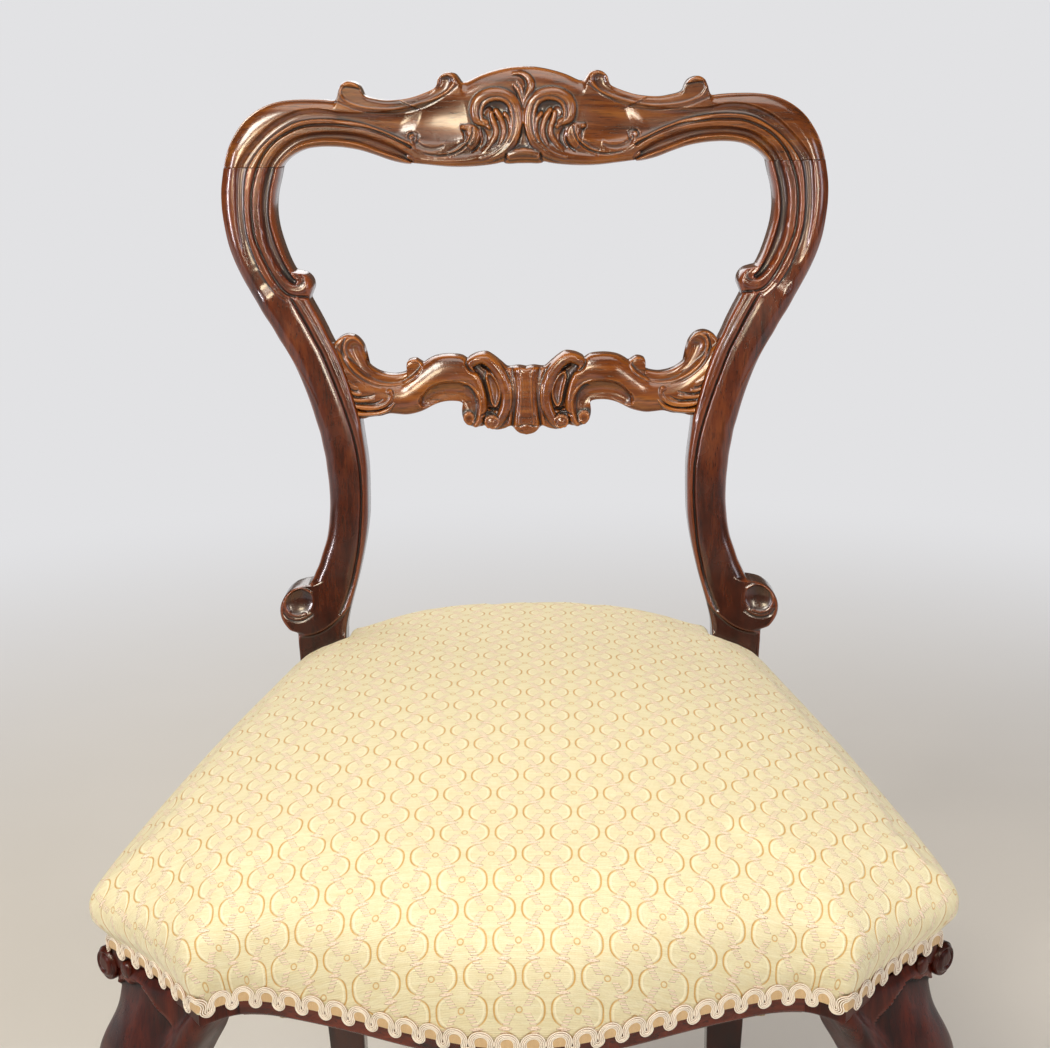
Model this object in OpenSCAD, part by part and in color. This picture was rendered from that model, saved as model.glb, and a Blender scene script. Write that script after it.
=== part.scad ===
// Balloon back dining chair with a sprung, stuffed seat.
// The chair faces -Y, the floor is at zero height, and the middle of its
// overall depth lies over the origin.

/* [Back] */
// Height of the top of the crest above the floor
chair_h = 876; // [850:1:900]
// Width across the shoulders of the back
back_w = 450; // [436:1:464]
// Height of the crest rail above its joints with the stiles
crest_h = 71; // [64:1:78]
// Lean of the stiles between the seat and the crest rail
rake = 47; // [38:1:56]
// Extra lean from the curve of the stiles
rake_bend = 15; // [8:1:20]
// Backward bow of the back at its middle
bow = 12; // [8:1:16]
// Depth of the crest rail and the upper stiles
back_d = 26; // [24:1:30]
// Width of a stile at its waist
stile_w = 30; // [27:1:33]
// How far the middle rail lies below the crest rail's joints
mid_rail_drop = 169; // [155:1:185]
// Height of the middle rail's body
mid_rail_h = 49; // [44:1:54]
// Depth of the middle rail
mid_rail_d = 19; // [16:1:20]

/* [Seat] */
// Width across the seat's front corners
seat_front_w = 472; // [460:1:484]
// Width across the rear legs
seat_rear_w = 348; // [342:1:354]
// Length of the seat from its front corners to the rear legs
seat_len = 333; // [320:1:346]
// Width of each canted front corner
cant_x = 62; // [58:1:66]
// Depth of each canted front corner
cant_y = 61; // [57:1:65]
// How far the middle of the front rail bulges forward
front_bulge = 26.6; // [20:0.1:32]
// Height of the underside of the seat rails
rail_low_z = 372; // [362:1:380]
// Height of the seat rails
rail_h = 50; // [46:1:56]
// Thickness of the seat rails
rail_t = 24; // [22:1:26]
// Height of the crown of the seat
seat_top_z = 489; // [480:1:498]

/* [Legs] */
// Width of a rear leg at the seat
rear_leg_w = 35; // [33:1:37]
// Depth of a rear leg at the seat
rear_leg_d = 30; // [28:1:33]
// How far the rear feet are set back
rear_foot_set = 50; // [36:1:60]
// How far the knees of the front legs stand out
knee_out = 13; // [9:1:16]
// Depth of a front leg at its knee
knee_d = 48; // [44:1:52]

/* [Joinery] */
// Radius of the dowels in the crest rail
crest_dowel_r = 4; // [3:0.5:5]
// Length of the dowels in the crest rail
crest_dowel_l = 44; // [36:1:52]
// Radius of the dowels in the middle rail
mid_dowel_r = 3; // [2.5:0.5:3.5]
// Length of the dowels in the middle rail
mid_dowel_l = 28; // [22:1:32]
// Radius of the dowels in the seat rails
rail_dowel_r = 4.5; // [3.5:0.5:5.5]
// Length of the dowels in the seat rails
rail_dowel_l = 46; // [38:1:50]
// Height of the corner blocks
block_h = 34; // [28:1:38]
// Radius of the corner block screws
screw_r = 2.3; // [1.8:0.1:2.8]
// Length of the front corner block screws
screw_l = 50; // [44:1:54]
// Length of the rear corner block screws
rear_screw_l = 30; // [26:1:31]

/* [Upholstery] */
// Width of a strip of webbing
web_w = 50; // [44:1:54]
// Thickness of the webbing
web_t = 1.6; // [1.2:0.1:2]
// Radius of a spring at its ends
spring_r = 34; // [30:1:38]
// Radius of a spring at its waist
spring_waist_r = 22; // [18:1:26]
// Radius of the spring wire
wire_r = 1.8; // [1.4:0.1:2.2]
// Thickness of the spring canvas
canvas_t = 1.4; // [1:0.1:2]
// Thickness of the seat cover
cover_t = 1.2; // [0.8:0.1:1.6]
// How far the stuffed sides swell past the rails
swell = 3.6; // [2:0.1:5]
// Width of the braid
gimp_w = 12.5; // [10:0.5:15]
// Thickness of the braid
gimp_t = 2; // [1.5:0.1:2.5]
// Height of the braid at the middle of the front
gimp_z = 381; // [376:1:386]
// Rise of the braid and the front rail's edge beside the legs
front_arch = 9; // [6:1:12]
// Rise of the braid at the front corners
corner_rise = 11; // [8:1:14]

/* [Hidden] */
$fn = 40;

// Glue line between faces that meet
glue = 0.1;
// Clearance beside soft parts, and round a dowel or a screw
play = 0.3;
hole_play = 0.06;
// Overrun of a cut past the face that it opens
overrun = 1;
// Glide under each foot: how far it stands proud, how deep it is let in, and its radius
glide_h = 2;
glide_in = 6;
glide_r = 11;
// Length of the rear legs that stays straight past the seat rails' edges
straight_past = 7;

// Reference lines of the seat
corner_share = 0.44;
corner_y = -seat_len * corner_share;
rear_y = corner_y + seat_len;
corner_x = seat_front_w / 2;
vee_x = corner_x - cant_x;
vee_y = corner_y - cant_y;
rear_out = seat_rear_w / 2;
rear_in = rear_out - rear_leg_w;
rail_top_z = rail_low_z + rail_h;
joint_z = chair_h - crest_h;
mid_rail_z = joint_z - mid_rail_drop;
straight_low_z = rail_low_z - straight_past;
straight_top_z = rail_top_z + straight_past;
back_span = joint_z - straight_top_z;
flare = back_w / 2 - rear_out;

function mix(a, b, t) = a + (b - a) * t;
function clamp01(t) = min(1, max(0, t));
function ease(t) = let (c = clamp01(t)) c * c * (3 - 2 * c);
function flip_x(p) = [-p[0], p[1], p[2]];
function backward(list) = [for (i = [len(list) - 1:-1:0]) list[i]];

// A smooth curve through rows of numbers, with m steps between two rows
function curve_at(p, i, t) =
    let (n = len(p) - 1, a = p[max(i - 1, 0)], b = p[i],
         c = p[min(i + 1, n)], d = p[min(i + 2, n)])
    (2 * b + (c - a) * t + (2 * a - 5 * b + 4 * c - d) * t * t
     + (3 * b - a - 3 * c + d) * t * t * t) / 2;
function curve(p, m) = [for (i = [0:len(p) - 2]) for (j = [0:m - 1]) curve_at(p, i, j / m),
                        p[len(p) - 1]];

function middle(ring) = let (n = len(ring)) [for (k = [0:2]) [for (p = ring) p[k]] * [for (p = ring) 1] / n];

// A solid through rings of equal length, closed by a fan at each end. The
// rings run anticlockwise as seen from the far end. The diagonals of the walls
// turn the other way from a given ring on, so that surfaces lofted inward and
// outward lie side by side.
module loft(rings, low = undef, high = undef, turned = undef) {
    n = len(rings[0]);
    m = len(rings);
    low_tip = is_undef(low) ? middle(rings[0]) : low;
    high_tip = is_undef(high) ? middle(rings[m - 1]) : high;
    points = concat([for (r = rings) each r], [low_tip, high_tip]);
    walls = [for (k = [0:m - 2]) for (i = [0:n - 1])
        let (j = (i + 1) % n, a = k * n + i, b = k * n + j)
        each !is_undef(turned) && k >= turned ? [[a, a + n, b], [a + n, b + n, b]]
            : [[a, a + n, b + n], [a, b + n, b]]];
    ends = [for (i = [0:n - 1]) let (j = (i + 1) % n, t = (m - 1) * n)
        each [[m * n, i, j], [m * n + 1, t + j, t + i]]];
    polyhedron(points = points, faces = concat(walls, ends), convexity = 6);
}

// BACK

// Cross-sections of the frame, from its inner edge round the front to its
// outer edge and back: how far across, and how deep. All have the same
// number of points, so that one section can melt into another.
square_shares = [[0, .10], [.02, .03], [.08, 0], [.2, 0], [.3, 0], [.4, 0], [.5, 0], [.66, 0],
    [.92, 0], [.98, .03], [1, .1], [1, .92], [.95, 1], [.05, 1], [0, .92]];
plain_shares = [[0, .40], [.03, .17], [.11, .08], [.2, .16], [.27, .11], [.38, .03], [.5, 0],
    [.68, 0], [.85, .06], [.96, .2], [1, .44], [.98, .86], [.9, 1], [.1, 1], [.02, .88]];
moulded_shares = [[0, .44], [.03, .2], [.13, .08], [.23, .2], [.31, .12], [.4, .24], [.48, .06],
    [.66, -.02], [.85, .06], [.96, .24], [1, .48], [.97, .84], [.88, 1], [.12, 1], [.02, .88]];
field_shares = [[0, .38], [.03, .2], [.09, .1], [.18, .14], [.28, .12], [.4, .06], [.52, .02],
    [.68, 0], [.84, .05], [.95, .16], [1, .38], [.98, .84], [.92, 1], [.08, 1], [.02, .86]];

// Front face of the back at a place across and up: it leans, bends and bows
function lean_y(z) = let (s = (z - straight_top_z) / back_span)
    rear_y + rake * s + rake_bend * s * s;
function bow_y(x) = bow * (1 - pow(2 * x / back_w, 2));
function back_y(x, z) = z < straight_top_z ? rear_y
    : lean_y(z) + bow_y(x) * ease((z - straight_top_z) / (back_span * bow_fade_share));
bow_fade_share = .2;

// A ring across the frame from its inner to its outer edge
function frame_ring(x_in, z_in, x_out, z_out, depth, section) =
    [for (q = section) let (x = mix(x_in, x_out, q[0]), z = mix(z_in, z_out, q[0]))
        [x, back_y(x, z) + q[1] * depth, z]];

// Upper stile, from the seat to the crest rail: height, outer edge, width
// and depth. The scrolled ear is near the foot, and the end of the inner
// moulding stands out as a bump below the shoulder.
stile_shares = [
    [0, 0, 1.167, 1.154], [.05, 0, 1.167, 1.12], [.09, .04, 1.19, 1.08],
    [.108, .2, 1.44, 1.06], [.128, .275, 1.68, 1.05], [.15, .24, 1.62, 1.04], [.168, .1, 1.4, 1.03],
    [.182, -.13, 1.2, 1.02], [.213, -.275, 1.083, 1], [.261, -.395, 1.01, 1], [.333, -.465, .987, 1],
    [.405, -.43, 1.05, 1], [.477, -.343, 1.083, 1], [.549, -.182, 1.157, 1],
    [.621, .035, 1.227, 1], [.667, .229, 1.29, 1], [.7, .38, 1.35, 1], [.722, .48, 1.38, 1],
    [.74, .56, 1.5, 1], [.765, .65, 1.62, 1], [.787, .73, 1.67, 1], [.803, .78, 1.58, 1],
    [.819, .824, 1.34, 1], [.853, .912, 1.29, 1], [.893, .976, 1.277, 1],
    [.93, 1, 1.3, 1], [.96, 1.01, 1.35, 1], [1, .947, 1.493, 1]];

// Rear leg, from the floor to the seat: height, backward splay, inset of
// the outer face, width and depth
rear_leg_shares = [[0, 1, .12, .74, .8], [.15, .77, .1, .78, .83], [.32, .5, .07, .84, .87],
    [.5, .27, .04, .9, .92], [.7, .09, .01, .96, .97], [.87, .01, 0, 1, 1], [1, 0, 0, 1, 1]];

// Where the post's square section turns round, and where the mouldings
// begin: the share of the height, and the share over which it changes
round_shares = [.1, .1];
shoulder_shares = [.7, .08];
function stile_section(s) =
    let (up = ease((s - round_shares[0]) / round_shares[1]),
         moulded = ease((s - shoulder_shares[0]) / shoulder_shares[1]))
    mix(mix(square_shares, plain_shares, up), moulded_shares, moulded);
function stile_ring(r) =
    let (z = straight_top_z + r[0] * back_span - (r[0] == 1 ? glue : 0),
         x_out = rear_out + r[1] * flare, x_in = x_out - r[2] * stile_w)
    frame_ring(x_in, z, x_out, z, r[3] * back_d, stile_section(r[0]));
function rear_leg_ring(r) =
    let (z = max(glide_h, r[0] * straight_low_z), x_out = rear_out - r[2] * rear_leg_w,
         x_in = x_out - r[3] * rear_leg_w)
    [for (q = square_shares) [mix(x_in, x_out, q[0]),
        rear_y + r[1] * rear_foot_set + q[1] * r[4] * rear_leg_d, z]];

stile_rows = curve(stile_shares, 2);
// Inner edge of the stile at a height
stile_edge = [for (r = stile_rows)
    [straight_top_z + r[0] * back_span, rear_out + r[1] * flare - r[2] * stile_w]];
function stile_in(z) = lookup(z, stile_edge);

module stile() {
    difference() {
        union() {
            loft(concat([for (r = curve(rear_leg_shares, 2)) rear_leg_ring(r)],
                        [for (r = stile_rows) stile_ring(r)]));
            foot = rear_leg_shares[0];
            translate([rear_out - (foot[2] + foot[3] / 2) * rear_leg_w,
                       rear_y + rear_foot_set + foot[4] * rear_leg_d / 2, 0])
                cylinder(h = glide_h + glide_in, r = glide_r);
        }
        crest_dowel_pair(hole_play);
        mid_dowel(hole_play);
        side_dowels_rear(hole_play);
        back_dowel_pair(hole_play);
        rear_block_screws(hole_play);
    }
}

// Crest rail, from its joint with the stile to the middle: the upper edge
// across and up, then the lower edge across and up. A pair of scrolled
// horns stands on each half of the upper edge.
crest_shares = [
    [.988, 0, .789, 0], [.962, .211, .769, .075], [.916, .408, .747, .12], [.853, .556, .716, .169],
    [.782, .642, .682, .196], [.702, .676, .644, .203], [.662, .659, .622, .201],
    [.631, .697, .604, .197], [.607, .803, .587, .187], [.578, .859, .564, .175],
    [.551, .775, .54, .155], [.524, .673, .516, .13], [.484, .642, .48, .096],
    [.436, .628, .436, .042], [.387, .654, .387, .006], [.338, .696, .342, 0],
    [.307, .754, .307, -.014], [.282, .866, .28, -.024], [.258, .93, .253, -.032],
    [.229, .866, .227, -.041], [.2, .828, .2, -.041], [.169, .845, .169, -.038],
    [.124, .906, .124, -.023], [.08, .944, .08, -.006], [.036, .976, .036, -.004], [0, .986, 0, -.004]];

// Where the crest's flat field gives way to the mouldings
field_end_shares = [.3, .2];
function crest_section(s) =
    mix(field_shares, moulded_shares, ease((s - field_end_shares[0]) / field_end_shares[1]));
function crest_ring(r, first) =
    let (half = back_w / 2, lift = first ? glue : 0)
    frame_ring(half * r[2], joint_z + r[3] * crest_h + lift, half * r[0],
               joint_z + r[1] * crest_h + lift, back_d, crest_section(r[2]));

module crest_rail() {
    color("saddlebrown") seated() difference() {
        rows = curve(crest_shares, 2);
        half = [for (k = [0:len(rows) - 1]) crest_ring(rows[k], k == 0)];
        other = [for (k = [len(rows) - 2:-1:0]) [for (p = half[k]) flip_x(p)]];
        loft(concat(half, other));
        both() crest_dowel_pair(hole_play);
    }
}

// Middle rail, from its middle to the stile: the upper edge across and up,
// then the lower edge across and up. It ends against the stile's own curve.
mid_shares = [
    [0, .378, 0, -.627], [.06, .398, .06, -.582], [.098, .43, .1, -.52], [.15, .52, .146, -.55],
    [.2, .605, .207, -.537], [.264, .602, .268, -.48], [.316, .584, .321, -.388],
    [.367, .586, .354, -.163], [.44, .592, .433, -.108], [.515, .551, .52, -.151],
    [.573, .531, .617, -.235], [.603, .582, .667, -.286], [.64, .5, .71, -.278],
    [.683, .347, .752, -.278], [.746, .32, .8, -.265], [.81, .367, .85, -.29],
    [.84, .441, .892, -.296], [.84, .633, .925, -.296], [.855, .857, .956, -.316],
    [.9, .947, .978, -.347], [1, .93, 1, -.357]];
mid_section_shares = [[0, .42], [.04, .17], [.13, .05], [.22, .1], [.36, .02], [.5, 0], [.64, .02],
    [.78, .1], [.87, .05], [.96, .17], [1, .42], [.97, .88], [.88, 1], [.62, 1], [.37, 1],
    [.12, 1], [.03, .88]];
// How far the middle rail is set back behind the stiles' front, and the
// clearance of its curved end
mid_set_back = 2;
mid_end_gap = .35;
mid_end_pit = 3;

function mid_point(r, across, deep) =
    let (z = mid_rail_z + mix(r[3], r[1], across) * mid_rail_h,
         x = mix(r[2], r[0], across) * (stile_in(z) - mid_end_gap))
    [x, lean_y(z) + bow_y(x) + mid_set_back + deep * mid_rail_d, z];
function mid_ring(r) = [for (q = mid_section_shares) mid_point(r, q[0], q[1])];

module mid_rail() {
    color("sienna") seated() difference() {
        rows = mid_shares;
        half = [for (r = rows) mid_ring(r)];
        tip = mid_point(rows[len(rows) - 1], .5, .5) - [mid_end_pit, 0, 0];
        other = [for (k = [len(rows) - 1:-1:1]) [for (p = half[k]) flip_x(p)]];
        rings = concat(other, half);
        // The rings run from left to right, so each is read the other way round
        loft([for (r = rings) backward(r)], flip_x(tip), tip);
        both() mid_dowel(hole_play);
    }
}

module both() {
    children();
    mirror([1, 0, 0]) children();
}

// JOINTS

// Two dowels stand across each joint of the crest rail, square to the lean
crest_dowel_places_shares = [.31, .72];
function crest_joint_x(s) =
    let (r = crest_shares[0]) back_w / 2 * mix(r[2], r[0], s);
lean_angle = atan((rake + 2 * rake_bend) / back_span);

module crest_dowel_pair(grow = 0) {
    for (s = crest_dowel_places_shares) {
        x = crest_joint_x(s);
        translate([x, back_y(x, joint_z) + back_d / 2, joint_z])
            rotate([-lean_angle, 0, 0])
                cylinder(h = crest_dowel_l + 2 * grow, r = crest_dowel_r + grow, center = true);
    }
}

// One dowel joins each end of the middle rail to its stile
module mid_dowel(grow = 0) {
    x = stile_in(mid_rail_z);
    translate([x, lean_y(mid_rail_z) + bow_y(x) + back_d / 2, mid_rail_z])
        rotate([0, 90, 0])
            cylinder(h = mid_dowel_l + 2 * grow, r = mid_dowel_r + grow, center = true);
}

// Two dowels, one above the other, in each joint of the seat rails
rail_dowel_heights_shares = [.22, .62];
// The dowels of the front and back rails pass between those of the sides
rail_dowel_stagger_share = .2;
module dowel_stack(grow, stagger) {
    for (s = rail_dowel_heights_shares)
        translate([0, 0, rail_low_z + (s + stagger) * rail_h])
            cylinder_along(rail_dowel_l + 2 * grow, rail_dowel_r + grow);
}
module cylinder_along(length, radius) {
    rotate([90, 0, 0]) cylinder(h = length, r = radius, center = true);
}
module front_dowels(grow = 0) {
    translate([front_joint_x, front_y(front_joint_share) + rail_t / 2, 0])
        rotate([0, 0, 90]) dowel_stack(grow, rail_dowel_stagger_share);
}
module side_dowels_front(grow = 0) {
    translate([side_x(side_joint_y) - side_run / 2, side_joint_y, 0]) dowel_stack(grow, 0);
}
module side_dowels_rear(grow = 0) {
    translate([side_x(rear_y) - side_run / 2, rear_y, 0]) dowel_stack(grow, 0);
}
module back_dowel_pair(grow = 0) {
    translate([rear_in, rear_y + back_rail_set + back_rail_t / 2, 0])
        rotate([0, 0, 90]) dowel_stack(grow, rail_dowel_stagger_share);
}

// SEAT FRAME

// The front rail winds in and out: how far across, and how far forward
front_shares = [[0, 1], [.07, .99], [.16, .93], [.33, .63], [.5, .27], [.65, 0], [.8, -.23],
    [.9, -.23], [1, 0]];
// How its lower edge and the braid rise on the way
arch_shares = [[0, 0], [.3, .3], [.5, .6], [.65, .85], [.8, 1], [.9, .95], [1, .6]];
front_steps = 14;
front_curve = curve(front_shares, 5);
arch_curve = curve(arch_shares, 5);
function front_y(s) = vee_y - front_bulge * lookup(s, front_curve);
function front_rise(s) = front_arch * lookup(s, arch_curve);
function braid_front_z(s) = gimp_z + front_rise(s);

// The front rail stops short of the corner, against the head of the leg
front_joint_share = .88;
front_joint_x = vee_x * front_joint_share;
// The side rail starts just behind the corner
side_joint_set = 24;
side_joint_y = corner_y + side_joint_set;
function side_x(y) = mix(corner_x, rear_out, (y - corner_y) / seat_len);
side_slope = (corner_x - rear_out) / seat_len;
// Thickness of a side rail measured straight across the seat
side_run = rail_t * sqrt(1 + side_slope * side_slope);
// The show edge under the braid: its drop below the braid, thickness and rounding
show_drop = 13.5;
show_t = 9;
show_round = 3;
back_rail_t = 22;
back_rail_set = 6;

module front_rail() {
    half = [for (k = [0:front_steps]) if (k / front_steps < front_joint_share) k / front_steps];
    stations = concat(half, [front_joint_share - glue / vee_x]);
    color("saddlebrown") seated() difference() {
        loft(concat([for (k = [len(stations) - 1:-1:1]) backward(front_rail_ring(stations[k], -1))],
                    [for (s = stations) backward(front_rail_ring(s, 1))]));
        both() front_dowels(hole_play);
    }
}
function front_rail_ring(s, side) =
    let (x = side * s * vee_x, y = front_y(s), low = braid_front_z(s) - show_drop)
    [[x, y, low + show_round], [x, y, rail_top_z], [x, y + rail_t, rail_top_z],
     [x, y + rail_t, rail_low_z], [x, y + show_t + glue, rail_low_z], [x, y + show_t, low],
     [x, y + show_round, low]];

module side_rail() {
    difference() {
        translate([0, 0, rail_low_z]) linear_extrude(rail_h)
            polygon([for (y = [side_joint_y + glue, rear_y - glue])
                     for (d = y < 0 ? [0, side_run] : [side_run, 0]) [side_x(y) - d, y]]);
        side_dowels_front(hole_play);
        side_dowels_rear(hole_play);
    }
}
module back_rail() {
    color("peru") seated() difference() {
        translate([glue - rear_in, rear_y + back_rail_set, rail_low_z])
            cube([2 * (rear_in - glue), back_rail_t, rail_h]);
        both() back_dowel_pair(hole_play);
    }
}

// FRONT LEGS

// A front leg faces out from the canted corner. Along runs from the inner
// end of the cant to the seat's corner, and out runs away from the seat.
cant_l = sqrt(cant_x * cant_x + cant_y * cant_y);
along = [cant_x, cant_y] / cant_l;
out = [along[1], -along[0]];
// The face of the corner is hollowed a little
cant_hollow = 3;
cant_steps = 3;
function cant_point(s) = let (in = cant_hollow * sin(180 * s))
    [vee_x + cant_x * s - out[0] * in, vee_y + cant_y * s - out[1] * in];
function leg_point(c, n, z) = [vee_x + along[0] * c + out[0] * n, vee_y + along[1] * c + out[1] * n, z];

// The head of the leg stands between the rails up to their top
head_in_share = .42;
leg_loft_share = .25;
leg_loft_top = rail_low_z + rail_h * leg_loft_share;
head_steps = 4;
module leg_head() {
    front = [for (k = [0:head_steps - 1]) let (s = mix(front_joint_share, 1, k / head_steps))
        [vee_x * s, front_y(s)]];
    cant = [for (k = [0:cant_steps]) cant_point(k / cant_steps)];
    translate([0, 0, head_low_z]) linear_extrude(rail_top_z - head_low_z)
        polygon(concat(front, cant, [[side_x(side_joint_y), side_joint_y],
                                     [head_in_x, side_joint_y], [front_joint_x, head_in_y]]));
}
head_low_z = gimp_z - gimp_w / 2;
head_in_x = side_x(side_joint_y) - rail_t * (1 + head_in_share);
head_in_y = front_y(front_joint_share) + rail_t * (1 + head_in_share);

// Cabriole leg from the floor up: height, then its inner and outer edges
// along the cant, how far its face stands out, and its depth
leg_shares = [[0, .73, 1.03, -.25, .68], [.012, .71, 1.06, 0, .74], [.03, .69, 1.08, .2, .8],
    [.06, .69, 1.08, .05, .76], [.09, .72, 1.05, -.55, .62], [.13, .75, 1.02, -1.3, .5],
    [.2, .76, 1, -1.75, .45], [.31, .75, 1.01, -1.6, .5], [.42, .72, 1.04, -1.1, .57],
    [.53, .68, 1.07, -.45, .66], [.63, .62, 1.1, .2, .76], [.71, .55, 1.14, .65, .85],
    [.77, .48, 1.17, .92, .94], [.83, .4, 1.17, 1, 1], [.87, .31, 1.13, .85, 1],
    [.91, .2, 1.08, .5, .94], [.94, .12, 1.06, .3, .86], [.965, .05, 1.04, .16, .78],
    [.985, .02, 1.01, .02, .7], [1, .04, .96, -.2, .62]];
leg_section_shares = [[0, .34], [.02, .1], [.09, .05], [.17, .09], [.24, .07], [.36, .0], [.5, -.03],
    [.66, -.03], [.82, .01], [.94, .09], [1, .3], [1, .66], [.86, .94], [.6, 1], [.38, 1], [.12, .9]];
function leg_ring(r) =
    let (z = max(glide_h, r[0] * leg_loft_top))
    [for (q = leg_section_shares)
        leg_point(cant_l * mix(r[1], r[2], q[0]), knee_out * r[3] - q[1] * r[4] * knee_d, z)];

// The scroll at the knee's outer end and the bead in its eye
scroll_r = 10;
scroll_l = 20;
scroll_proud = 3;
scroll_c_share = 1.08;
eye_r = 5.5;
eye_proud = 3.2;
eye_c_share = .83;
// The scroll and the bead lie close under the braid
scroll_top_z = gimp_z + corner_rise - gimp_w / 2 - play;

module front_leg() {
    difference() {
        union() {
            leg_head();
            loft([for (r = curve(leg_shares, 2)) leg_ring(r)]);
            leg_pin(scroll_c_share, scroll_top_z - scroll_r, scroll_proud, scroll_l, scroll_r);
            leg_pin(eye_c_share, scroll_top_z - eye_r, eye_proud, scroll_l, eye_r);
            foot = leg_shares[0];
            mid = leg_point(cant_l * (foot[1] + foot[2]) / 2,
                            knee_out * foot[3] - foot[4] * knee_d / 2, 0);
            translate(mid) cylinder(h = glide_h + glide_in, r = glide_r);
        }
        front_dowels(hole_play);
        side_dowels_front(hole_play);
        front_block_screws(hole_play);
    }
}
// A round boss that stands out of the knee's face
module leg_pin(c_share, z, proud, length, radius) {
    translate(leg_point(cant_l * c_share, proud, z))
        rotate([90, 0, atan2(along[1], along[0])])
            translate([0, 0, -length]) cylinder(h = length, r = radius);
}

// CORNER BLOCKS

block_low_z = rail_low_z + (rail_h - block_h) / 2;
block_reach = 40;
// Front face line of the space inside the front rail
block_front_share = .86;
front_in_y = front_y(block_front_share) + rail_t + play;
module block_front() {
    difference() {
        translate([0, 0, block_low_z]) linear_extrude(block_h)
            polygon([[front_joint_x - block_reach, front_in_y], [front_joint_x - play, front_in_y],
                     [front_joint_x - play, head_in_y + play],
                     [head_in_x - play, side_joint_y + play],
                     [side_x(side_joint_y) - side_run - play, side_joint_y + play],
                     [side_x(side_joint_y + block_reach) - side_run - play,
                      side_joint_y + block_reach]]);
        front_block_screws(hole_play);
    }
}
module block_rear() {
    inner = rear_y + back_rail_set - play;
    difference() {
        translate([0, 0, block_low_z]) linear_extrude(block_h)
            polygon([[rear_in - block_reach, inner],
                     [side_x(rear_y - block_reach) - side_run - play, rear_y - block_reach],
                     [side_x(rear_y) - side_run - play, rear_y - play],
                     [rear_in - play, rear_y - play], [rear_in - play, inner]]);
        rear_block_screws(hole_play);
    }
}

// Two screws through each corner block into the leg, heads let in flush
screw_heights_shares = [.28, .72];
head_r_share = 1.9;
head_h_share = 1.3;
module block_screw(length, grow) {
    sink = grow > 0 ? length : 0;
    translate([0, 0, -length]) cylinder(h = length + overrun, r = screw_r + grow);
    head_h = head_h_share * screw_r;
    cylinder(h = head_h + sink, r = head_r_share * screw_r + grow);
}
module screw_pair(x, y, turn, length, grow) {
    for (s = screw_heights_shares)
        translate([x, y, block_low_z + s * block_h])
            rotate([90, 0, turn]) block_screw(length, grow);
}
// How far the heads lie from the leg, so that they end flush with the blocks
front_screw_set = 20;
rear_screw_set = 11;
module front_block_screws(grow = 0) {
    x = (front_joint_x + head_in_x) / 2;
    y = (side_joint_y + head_in_y) / 2;
    turn = atan2(-along[1], -along[0]);
    screw_pair(x - out[0] * front_screw_set, y - out[1] * front_screw_set, turn,
               screw_l, grow);
}
module rear_block_screws(grow = 0) {
    screw_pair(rear_in - rear_screw_set, rear_y - rear_screw_set, -45, rear_screw_l, grow);
}

// UPHOLSTERY

// Webbing, tacked under the rails
web_count = 4;
cross_count = 5;
web_lap = 14;
// The cross strips lie between the legs, with this much room before and behind
web_room = 4;
web_pitch_x = 72;
web_low_y = side_joint_y + web_room + web_w / 2;
web_high_y = rear_y - web_room - web_w / 2;
function web_x(i) = (i - (web_count - 1) / 2) * web_pitch_x;
function web_y(j) = mix(web_low_y, web_high_y, j / (cross_count - 1));
web_top = rail_low_z - glue;

module webbing_lengthwise() {
    color("burlywood") seated() for (i = [0:web_count - 1]) {
        low_y = max([for (k = [-1, 1]) front_y(abs(web_x(i) + k * web_w / 2) / vee_x)])
                + rail_t - web_lap;
        high_y = rear_y + back_rail_set + web_lap;
        translate([web_x(i) - web_w / 2, low_y, web_top - web_t])
            cube([web_w, high_y - low_y, web_t]);
    }
}
// Each cross strip weaves under and over the lengthwise ones
module webbing_crosswise() {
    color("burlywood") seated() for (j = [0:cross_count - 1]) {
        reach = side_x(web_y(j) + web_w / 2) - side_run + web_lap;
        line = web_line(reach, j);
        translate([0, web_y(j) + web_w / 2, 0]) rotate([90, 0, 0]) linear_extrude(web_w)
            polygon(concat(line, backward([for (p = line) [p[0], p[1] - web_t]])));
    }
}
function web_line(reach, j) =
    let (ramp = (web_pitch_x - web_w) / 2 - play, off = web_t + play)
    concat([[-reach, web_top]],
           [for (i = [0:web_count - 1])
               let (side = (i + j) % 2 == 0 ? -off : off, x = web_x(i), h = web_w / 2 + play,
                    left = x - h - ramp, right = x + h + ramp)
               each [[i == 0 ? max(left, glue - reach) : left, web_top], [x - h, web_top + side],
                     [x + h, web_top + side], [right, web_top]]],
           [[reach, web_top]]);

// Coil springs between the webbing and the canvas, narrow at the waist
spring_turns = 5;
spring_steps = 8;
spring_sides = 6;
spring_x = 66;
spring_front_y = -88;
spring_rear_y = 92;
// The canvas rises this far over the springs
canvas_rise = 19;
spring_low_z = web_top + web_t + 2 * play + wire_r;
spring_high_z = rail_top_z + canvas_rise - play - wire_r;
function spring_radius(s) = mix(spring_waist_r, spring_r, pow(2 * s - 1, 2));
function spring_point(s) =
    let (a = 360 * spring_turns * s, r = spring_radius(s))
    [r * cos(a), r * sin(a), mix(spring_low_z, spring_high_z, s)];
function unit(v) = v / norm(v);
function tube_ring(at, ahead, radius, sides) =
    let (u = unit(cross(ahead, [0, 0, 1])), v = unit(cross(u, ahead)))
    [for (k = [0:sides - 1]) let (a = -360 * k / sides)
        at + radius * (cos(a) * u + sin(a) * v)];
// The heading is read a little way either side of a point
nudge_share = .1;
spring_gap = (spring_high_z - spring_low_z) / spring_turns - 2 * wire_r;
echo(least_gap_between_spring_turns = spring_gap);

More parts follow.
